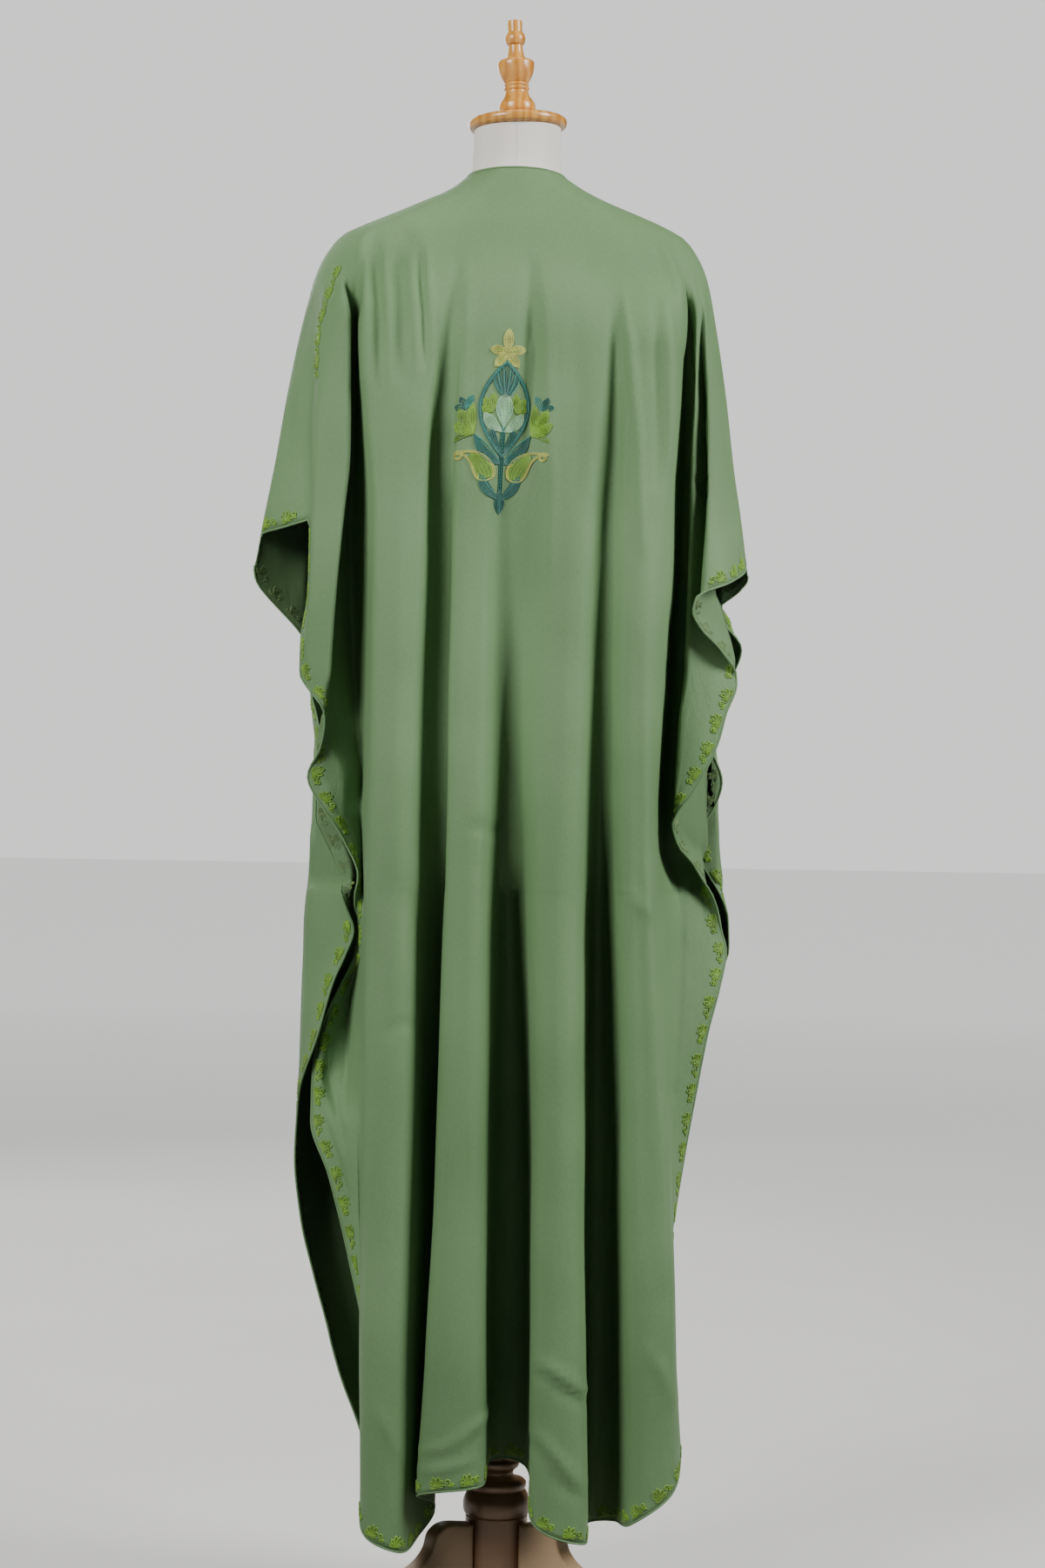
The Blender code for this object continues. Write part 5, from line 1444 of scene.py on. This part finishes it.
def linen_finish(name, low, high):
    """Plain linen, coarser than the crepe."""
    made, tree, shader = started(name)
    place = object_place(tree)
    # The form's cloth is wound round it, so its threads follow the angle and the height.
    parts = node(tree, "SeparateXYZ", {0: place}).outputs
    girth = worked(tree, "MULTIPLY", worked(tree, "ARCTAN2", parts["Y"], parts["X"]), 0.048)
    joined = node(tree, "CombineXYZ", {0: girth, 1: parts["Z"]})
    weave = node(tree, "Group", {"Threads per metre": 620.0, "Coordinates": joined.outputs[0]},
                 node_tree=weave_group()).outputs
    total = worked(tree, "MULTIPLY_ADD", weave["Tone"], 0.5,
                   noise(tree, place, Scale=18.0, Detail=4.0, Roughness=0.6))
    fill(tree, shader, {
        "Base Color": between(tree, total, low, high, 0.5, 0.95),
        "Roughness": ranged(tree, weave["Tone"], 0.82, 0.97),
        "Sheen Weight": 0.12, "Normal": bumped(tree, (weave["Height"], 0.0003, 0.6))})
    return made


def wood_finish(name, low, high, pore, rough, rings, stretch, coat=0.4):
    """Turned wood with dark pores under a thin varnish."""
    made, tree, shader = started(name)
    grain = node(tree, "Group", {"Rings": rings, "Stretch": stretch},
                 node_tree=grain_group()).outputs
    dark = node(tree, "Mix", {0: ranged(tree, grain["Pores"], -0.35, 0.9),
                              6: between(tree, grain["Figure"], low, high, 0.1, 0.85),
                              7: (*pore, 1.0)}, data_type="RGBA", blend_type="MULTIPLY")
    fill(tree, shader, {
        "Base Color": dark.outputs[2],
        "Roughness": ranged(tree, grain["Pores"], rough - 0.06, rough + 0.14),
        "Coat Weight": coat, "Coat Roughness": 0.18,
        "Normal": bumped(tree, (grain["Pores"], 0.0002, 0.35))})
    return made


def floor_finish(name):
    """Pale floor with a painted glow that grows away from the middle."""
    made, tree, shader = started(name)
    place = object_place(tree)
    # Painted light: the whole floor glows, less round the middle and more far off, so that it
    # meets the surroundings' tone.
    away = node(tree, "VectorMath", {0: place}, operation="LENGTH")
    span = node(tree, "MapRange", {"From Min": 1.0, "From Max": 9.0,
                                   "Value": away.outputs["Value"]})
    fill(tree, shader, {
        "Base Color": between(tree, noise(tree, place, Scale=2.0, Detail=3.0),
                              (0.60, 0.59, 0.57), (0.66, 0.65, 0.63)),
        "Roughness": 0.85,
        "Emission Color": between(tree, span.outputs["Result"], (0.34, 0.335, 0.325),
                                  (0.80, 0.80, 0.79), 0.0, 1.0),
        "Emission Strength": 0.95})
    return made


def material(name):
    """The named finish, made when it is first asked for."""
    if name in bpy.data.materials:
        return bpy.data.materials[name]
    c = bpy.context.scene.kaftan_colours
    if name == "cloth face":
        return cloth_finish(name, tuple(c.cloth_dark), tuple(c.cloth_light), 0.56, 0.07)
    if name == "cloth reverse":
        return cloth_finish(name, tuple(v * 0.86 for v in c.cloth_dark),
                            tuple(v * 0.86 for v in c.cloth_light), 0.66, 0.12)
    if name == "hem":
        return cloth_finish(name, tuple(v * 0.9 for v in c.cloth_dark),
                            tuple(v * 0.95 for v in c.cloth_light), 0.6, 0.15)
    threads = {"lime thread": (0.18, 0.36, 0.022), "leaf thread": (0.12, 0.25, 0.02),
               "dull thread": (0.13, 0.22, 0.07), "teal thread": (0.006, 0.105, 0.078),
               "light teal thread": (0.03, 0.23, 0.175), "yellow thread": (0.41, 0.45, 0.09),
               "mint thread": (0.28, 0.53, 0.29)}
    if name in threads:
        base = threads[name]
        return thread_finish(name, tuple(v * 0.72 for v in base), tuple(v * 1.2 for v in base))
    if name == "linen":
        return linen_finish(name, (0.74, 0.50, 0.33), (0.84, 0.62, 0.44))
    if name == "honey wood":
        return wood_finish(name, (0.60, 0.25, 0.035), (0.78, 0.39, 0.075), (0.80, 0.66, 0.50),
                           0.26, 34.0, (1.0, 1.0, 0.16))
    if name == "leg wood":
        return wood_finish(name, (0.20, 0.075, 0.022), (0.42, 0.18, 0.06), (0.6, 0.45, 0.35),
                           0.38, 22.0, (0.5, 0.5, 1.2), coat=0.2)
    if name == "dark wood":
        return wood_finish(name, (0.055, 0.016, 0.006), (0.17, 0.06, 0.02), (0.5, 0.4, 0.35),
                           0.3, 26.0, (1.0, 1.0, 0.12))
    return floor_finish(name)


# ---------------------------------------------------------------- form, cap, finial, stand
TURNED_FINIAL = (  # radius, height above the cap's seat; a third item marks a corner
    (0, 117, 1), (6.6, 117), (7.8, 115.4), (7.6, 105.2, 1), (9.6, 102.8), (10.9, 98),
    (9.8, 93), (7.5, 90.6, 1), (7.7, 87), (8.8, 81), (11, 75.4, 1), (18, 74, 1),
    (19.5, 71.8), (19.2, 66), (17.4, 59), (13.8, 52.4), (12.3, 50.4, 1), (13.3, 48.6),
    (12.3, 46.6, 1), (13.7, 44.4), (12.3, 42, 1), (12.8, 39.6), (14.4, 35.2, 1), (17.2, 31.6),
    (19.3, 27.4), (19.4, 22), (17.6, 18.8, 1), (0, 18.8, 1),
)
TURNED_CAP = (
    (0, 18.5, 1), (20, 18.5, 1), (24, 17.6), (36, 14.6), (47, 12.8), (51.6, 10.4),
    (52.6, 6.6), (50.8, 2.4), (46, 0.3, 1), (0, 0.3, 1),
)
TURNED_HUB = (
    (0, 181.6, 1), (20.8, 181.6), (23.6, 179), (22.6, 175.4, 1), (18.4, 171.6),
    (17.2, 168), (20, 163.4), (28.6, 161.4, 1), (30.9, 159), (31, 154.6),
    (29.2, 151.4, 1), (31.8, 148.4), (35, 141.4), (35.8, 134.6), (35.2, 128.4),
    (33.8, 125.8, 1), (31.6, 124.9, 1), (33, 123.6, 1), (33, 16, 1), (28, 4, 1),
    (28, 0, 1), (0, 0, 1),
)
SHAPED_LEG = (
    (33.5, 24, 1), (33.5, 118, 1), (62, 120.6), (78, 111.6), (85, 93),
    (104, 76.6), (150, 61), (198, 45), (225, 25), (231.4, 0.2, 1), (200, 0.2, 1),
    (184, 14), (140, 26), (92, 30), (58, 27), (33.5, 24, 1),
)


def form_sections():
    """Neck, then the shoulders a little under the yoke, then the body."""
    yoke = []
    for z, left, right, back, front in RIDGE[:8]:
        yoke.append((z - FORM_EASE, min(left, right) - FORM_EASE, back - FORM_EASE,
                     front - FORM_EASE))
    return FORM_NECK + tuple(yoke) + FORM_BODY


def dress_form(name):
    """Linen-covered torso and neck, drawn down from the top ring; smooth and limbless."""
    sections = form_sections()
    heights = [row[0] for row in sections]
    levels = [z for z in np.arange(heights[0], heights[-1], -6.0)] + [heights[-1]]
    bm = bmesh.new()
    first = bmesh.ops.create_circle(bm, cap_ends=True, segments=RING, radius=1.0)
    ring = sorted(first["verts"], key=lambda v: math.atan2(v.co.y, v.co.x) % (2 * math.pi))
    edges = [e for e in bm.edges]

    def place(verts, z):
        half, back, front = follow(heights, [row[1:] for row in sections], z)
        lean = fade(z, 1541.0, NECK_TOP) * math.tan(NECK_TILT)
        for k, v in enumerate(verts):
            a = 2 * math.pi * k / RING
            c, s = math.cos(a), math.sin(a)
            power = 2 / FORM_ROUND
            x = half * math.copysign(abs(c)**power, c)
            y = (front if s > 0 else back) * math.copysign(abs(s)**power, s)
            v.co = Vector((x, y, z + lean * x)) * MM

    place(ring, levels[0])
    for z in levels[1:]:
        grown = bmesh.ops.extrude_edge_only(bm, edges=edges)["geom"]
        fresh = {v for v in grown if isinstance(v, bmesh.types.BMVert)}
        edges = [e for e in grown if isinstance(e, bmesh.types.BMEdge) and e.verts[0] in fresh
                 and e.verts[1] in fresh]
        pairs = {}
        for v in fresh:
            for e in v.link_edges:
                other = e.other_vert(v)
                if other not in fresh:
                    pairs[other] = v
        ring = [pairs[v] for v in ring]
        place(ring, z)
    bmesh.ops.contextual_create(bm, geom=edges)
    bmesh.ops.recalc_face_normals(bm, faces=bm.faces)
    obj = mesh_thing(name, bm, material("linen"))
    obj.data.set_sharp_from_angle(angle=math.radians(50))
    return obj


def neck_seam(name):
    """Sewn seam down the middle of the form's neck, back and front."""
    sections = form_sections()
    heights = [row[0] for row in sections]
    paths = []
    for sign, column in ((-1, 2), (1, 3)):
        levels = np.linspace(1593.0, 1520.0, 30)
        paths.append([(0.0, sign * (follow(heights, [r[column] for r in sections], z) + 0.1), z)
                      for z in levels])
    return tubes(name, ((material("linen"), paths, 0.35),), sides=1)


def leg(name, angle):
    bm = bmesh.new()
    outline = rounded(SHAPED_LEG, 5)[:-1]
    face = bm.faces.new([bm.verts.new((r * MM, -LEG_THICK / 2 * MM, z * MM))
                         for r, z in outline])
    grown = bmesh.ops.extrude_face_region(bm, geom=[face])["geom"]
    moved = [g for g in grown if isinstance(g, bmesh.types.BMVert)]
    bmesh.ops.translate(bm, verts=moved, vec=(0, LEG_THICK * MM, 0))
    bmesh.ops.recalc_face_normals(bm, faces=bm.faces)
    sides = [f for f in bm.faces if abs(f.normal.y) > 0.9]
    rim = {e for f in sides for e in f.edges}
    bmesh.ops.bevel(bm, geom=list(rim), offset=2.6 * MM, segments=3, profile=0.5,
                    affect="EDGES", material=-1)
    bmesh.ops.transform(bm, matrix=Matrix.Rotation(math.radians(angle), 4, "Z"),
                        verts=bm.verts)
    obj = mesh_thing(name, bm, material("leg wood"))
    obj.data.set_sharp_from_angle(angle=math.radians(32))
    return obj


# ---------------------------------------------------------------- settings
class KaftanSizes(bpy.types.PropertyGroup):
    cloth: FloatProperty(name="Cloth", description="Thickness of the crepe",
                         default=0.001, min=0.0006, max=0.0016, unit="LENGTH")
    hem: FloatProperty(name="Rolled hem", description="Radius of the rolled hem",
                       default=0.0012, min=0.0006, max=0.002, unit="LENGTH")
    thread: FloatProperty(name="Thread", description="Radius of a row of chain stitch",
                          default=0.0008, min=0.0003, max=0.0012, unit="LENGTH")
    pitch: FloatProperty(name="Vine repeat", description="Length of one repeat of the border",
                         default=0.031, min=0.02, max=0.06, unit="LENGTH")


class KaftanColours(bpy.types.PropertyGroup):
    cloth_dark: FloatVectorProperty(name="Cloth, dark", description="Darker tone of the crepe",
                                    default=(0.125, 0.235, 0.095), size=3, subtype="COLOR",
                                    min=0.0, max=1.0)
    cloth_light: FloatVectorProperty(name="Cloth, light", description="Lighter tone of the crepe",
                                     default=(0.185, 0.320, 0.145), size=3, subtype="COLOR",
                                     min=0.0, max=1.0)


class KaftanStudio(bpy.types.PropertyGroup):
    key: FloatProperty(name="Key light", description="Power of the large light before the cloth",
                       default=124.0, min=0.0, unit="POWER")
    window: FloatProperty(name="Side light", description="Power of the light at the right",
                          default=126.0, min=0.0, unit="POWER")
    fill: FloatProperty(name="Fill light", description="Power of the light behind",
                        default=45.0, min=0.0, unit="POWER")
    top: FloatProperty(name="Overhead light", description="Even light on the floor",
                       default=0.45, min=0.0)
    air: FloatProperty(name="Surroundings", description="Strength of the light from all round",
                       default=0.03, min=0.0, max=2.0)


# ---------------------------------------------------------------- one operator for each piece
def studio_light(name, place, aim, size, power):
    """A flat light that is aimed at a point."""
    lamp = bpy.data.lights.new(name, "AREA")
    lamp.shape = "RECTANGLE"
    lamp.size, lamp.size_y = size
    lamp.energy = power
    obj = thing(name, lamp)
    obj.location = place
    obj.rotation_euler = (Vector(aim) - Vector(place)).to_track_quat("-Z", "Y").to_euler()
    return obj


class KAFTAN_OT_stage(bpy.types.Operator):
    """Lay the floor, hang the lights and stand the camera"""
    bl_idname = "kaftan.stage"
    bl_label = "Stage"

    def execute(self, context):
        studio = context.scene.kaftan_studio
        bm = bmesh.new()
        bmesh.ops.create_grid(bm, x_segments=2, y_segments=2, size=30.0)
        floor = mesh_thing("floor", bm, material("floor"))
        # The floor shows pale but throws no light up into the folds.
        floor.visible_diffuse = False
        studio_light("key", (-2.0, -2.3, 2.7), (0.0, 0.0, 1.35), (1.5, 1.6), studio.key)
        studio_light("window", (2.6, -1.05, 2.6), (0.0, 0.0, 1.4), (1.1, 1.7), studio.window)
        studio_light("fill behind", (-1.2, 3.2, 2.4), (0.0, 0.0, 0.9), (2.0, 2.0), studio.fill)
        overhead = bpy.data.lights.new("overhead", "SUN")
        overhead.energy = studio.top
        overhead.angle = math.radians(25)
        thing("overhead", overhead).rotation_euler = (math.radians(-8), 0.0, 0.0)
        world = bpy.data.worlds.new("studio air")
        world.use_nodes = True
        context.scene.world = world
        tree = world.node_tree
        # The air lights the cloth softly, and is paler where the camera sees it.
        soft = fill(tree, tree.nodes["Background"], {"Color": (0.80, 0.82, 0.85, 1.0),
                                                     "Strength": studio.air})
        pale = node(tree, "Background", {"Color": (0.86, 0.86, 0.85, 1.0), "Strength": 1.22})
        either = node(tree, "MixShader", {
            0: node(tree, "LightPath").outputs["Is Camera Ray"],
            1: soft.outputs[0], 2: pale.outputs[0]})
        fill(tree, tree.nodes["World Output"], {"Surface": either.outputs[0]})
        lens = bpy.data.cameras.new("camera")
        lens.lens = 69.1
        lens.sensor_width = 36.0
        lens.clip_end = 100.0
        camera = thing("camera", lens)
        camera.location = (0.0158, -3.2, 0.9)
        camera.rotation_euler = (math.radians(90.0), math.radians(-0.88), 0.0)
        context.scene.camera = camera
        return {"FINISHED"}


def hang_panel(name, sizes):
    """One panel with its rolled hem and border, in place of its plain solid."""
    panel = panel_named(name)
    cloth = mesh_thing(name + "_cloth", panel.mesh(), material("cloth face"),
                       material("cloth reverse"))
    wall = cloth.modifiers.new("wall", "SOLIDIFY")
    wall.thickness = sizes.cloth
    wall.offset = 0.0
    wall.use_quality_normals = True
    wall.material_offset = 1
    wall.material_offset_rim = 0
    hem = hems(name, panel, sizes)
    vines = border(name, panel, sizes)
    return cloth, hem, vines


class KAFTAN_OT_back_panel(bpy.types.Operator):
    """Hang the back panel with its hem, border and motif"""
    bl_idname = "kaftan.back_panel"
    bl_label = "Back panel"

    def execute(self, context):
        sizes = context.scene.kaftan_sizes
        cloth, hem, vines = hang_panel("back", sizes)
        extra = [hem, *vines, back_motif(sizes), shoulder_vine(sizes)]
        for piece in [cloth, *extra]:
            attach(piece, "root")
        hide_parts("back_panel")
        return {"FINISHED"}


class KAFTAN_OT_front_panel(bpy.types.Operator):
    """Hang the front panel with its neck slit, hem and border"""
    bl_idname = "kaftan.front_panel"
    bl_label = "Front panel"

    def execute(self, context):
        sizes = context.scene.kaftan_sizes
        cloth, hem, vines = hang_panel("front", sizes)
        extra = [hem, *vines, neck_vine(sizes)]
        for piece in [cloth, *extra]:
            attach(piece, "root")
        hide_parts("front_panel")
        return {"FINISHED"}


class KAFTAN_OT_seams(bpy.types.Operator):
    """Close the shoulders and sleeve tops with a narrow felled seam"""
    bl_idname = "kaftan.seams"
    bl_label = "Shoulder and sleeve seams"

    def execute(self, context):
        back, front = panel_named("back"), panel_named("front")
        paths = []
        for side, column in ((0, 0), (1, -1)):
            rows = min(back.cuff_rows[side], len(back.levels))
            line = []
            for r in range(rows + 1):
                there = front.points[:, column, :]
                z = back.points[r, column, 2]
                other = [np.interp(-z, -there[:, 2], there[:, k]) for k in range(3)]
                line.append((back.points[r, column] + np.array(other)) / 2)
            paths.append(line)
        piece = tubes("shoulder_seams", ((material("hem"), paths, 1.25),), sides=2)
        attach(piece, "root")
        return {"FINISHED"}


class KAFTAN_OT_dress_form(bpy.types.Operator):
    """Cover the dress form with linen"""
    bl_idname = "kaftan.dress_form"
    bl_label = "Dress form"

    def execute(self, context):
        form = dress_form("dress_form_linen")
        seam = neck_seam("neck_seam")
        for piece in (form, seam):
            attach(piece, "root")
        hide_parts("dress_form")
        return {"FINISHED"}


class KAFTAN_OT_cap_and_finial(bpy.types.Operator):
    """Turn the neck cap and the finial"""
    bl_idname = "kaftan.cap_and_finial"
    bl_label = "Cap and finial"

    def execute(self, context):
        place = (Matrix.Translation(Vector((0, 0, NECK_TOP * MM)))
                 @ Matrix.Rotation(-NECK_TILT, 4, "Y"))
        for name, profile, stands_for in (("turned_cap", TURNED_CAP, "neck_cap"),
                                          ("turned_finial", TURNED_FINIAL, "finial")):
            piece = turned(name, profile, material("honey wood"), place)
            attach(piece, "root")
            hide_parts(stands_for)
        return {"FINISHED"}


class KAFTAN_OT_stand(bpy.types.Operator):
    """Turn the hub and shape the three legs; the plain post gets its wood"""
    bl_idname = "kaftan.stand"
    bl_label = "Stand"

    def execute(self, context):
        hub = turned("turned_hub", TURNED_HUB, material("dark wood"))
        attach(hub, "root")
        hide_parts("hub")
        for number, angle in enumerate(LEG_ANGLES, start=1):
            piece = leg(f"shaped_leg_{number}", angle)
            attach(piece, "root")
            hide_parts(f"leg_{number}")
        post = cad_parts["post"]
        post.material_slots[0].material = material("dark wood")
        return {"FINISHED"}


OPERATORS = (KAFTAN_OT_stage, KAFTAN_OT_dress_form, KAFTAN_OT_back_panel,
             KAFTAN_OT_front_panel, KAFTAN_OT_seams, KAFTAN_OT_cap_and_finial,
             KAFTAN_OT_stand)


class KAFTAN_PT_maker(bpy.types.Panel):
    """Kaftan sizes, colours and pieces"""
    bl_idname = "KAFTAN_PT_maker"
    bl_label = "Kaftan"
    bl_space_type = "VIEW_3D"
    bl_region_type = "UI"
    bl_category = "Kaftan"

    def draw(self, context):
        for group in (context.scene.kaftan_sizes, context.scene.kaftan_colours,
                      context.scene.kaftan_studio):
            for name in group.bl_rna.properties.keys():
                if name not in ("rna_type", "name"):
                    self.layout.prop(group, name)
        for operator in OPERATORS:
            self.layout.operator(operator.bl_idname)


CLASSES = (KaftanSizes, KaftanColours, KaftanStudio) + OPERATORS + (KAFTAN_PT_maker,)


def register():
    for made in CLASSES:
        bpy.utils.register_class(made)
    bpy.types.Scene.kaftan_sizes = PointerProperty(type=KaftanSizes)
    bpy.types.Scene.kaftan_colours = PointerProperty(type=KaftanColours)
    bpy.types.Scene.kaftan_studio = PointerProperty(type=KaftanStudio)


def unregister():
    del bpy.types.Scene.kaftan_sizes
    del bpy.types.Scene.kaftan_colours
    del bpy.types.Scene.kaftan_studio
    for made in reversed(CLASSES):
        bpy.utils.unregister_class(made)


def main():
    register()
    for operator in OPERATORS:
        group, _, name = operator.bl_idname.partition(".")
        getattr(getattr(bpy.ops, group), name)()


if __name__ == "__main__":
    main()
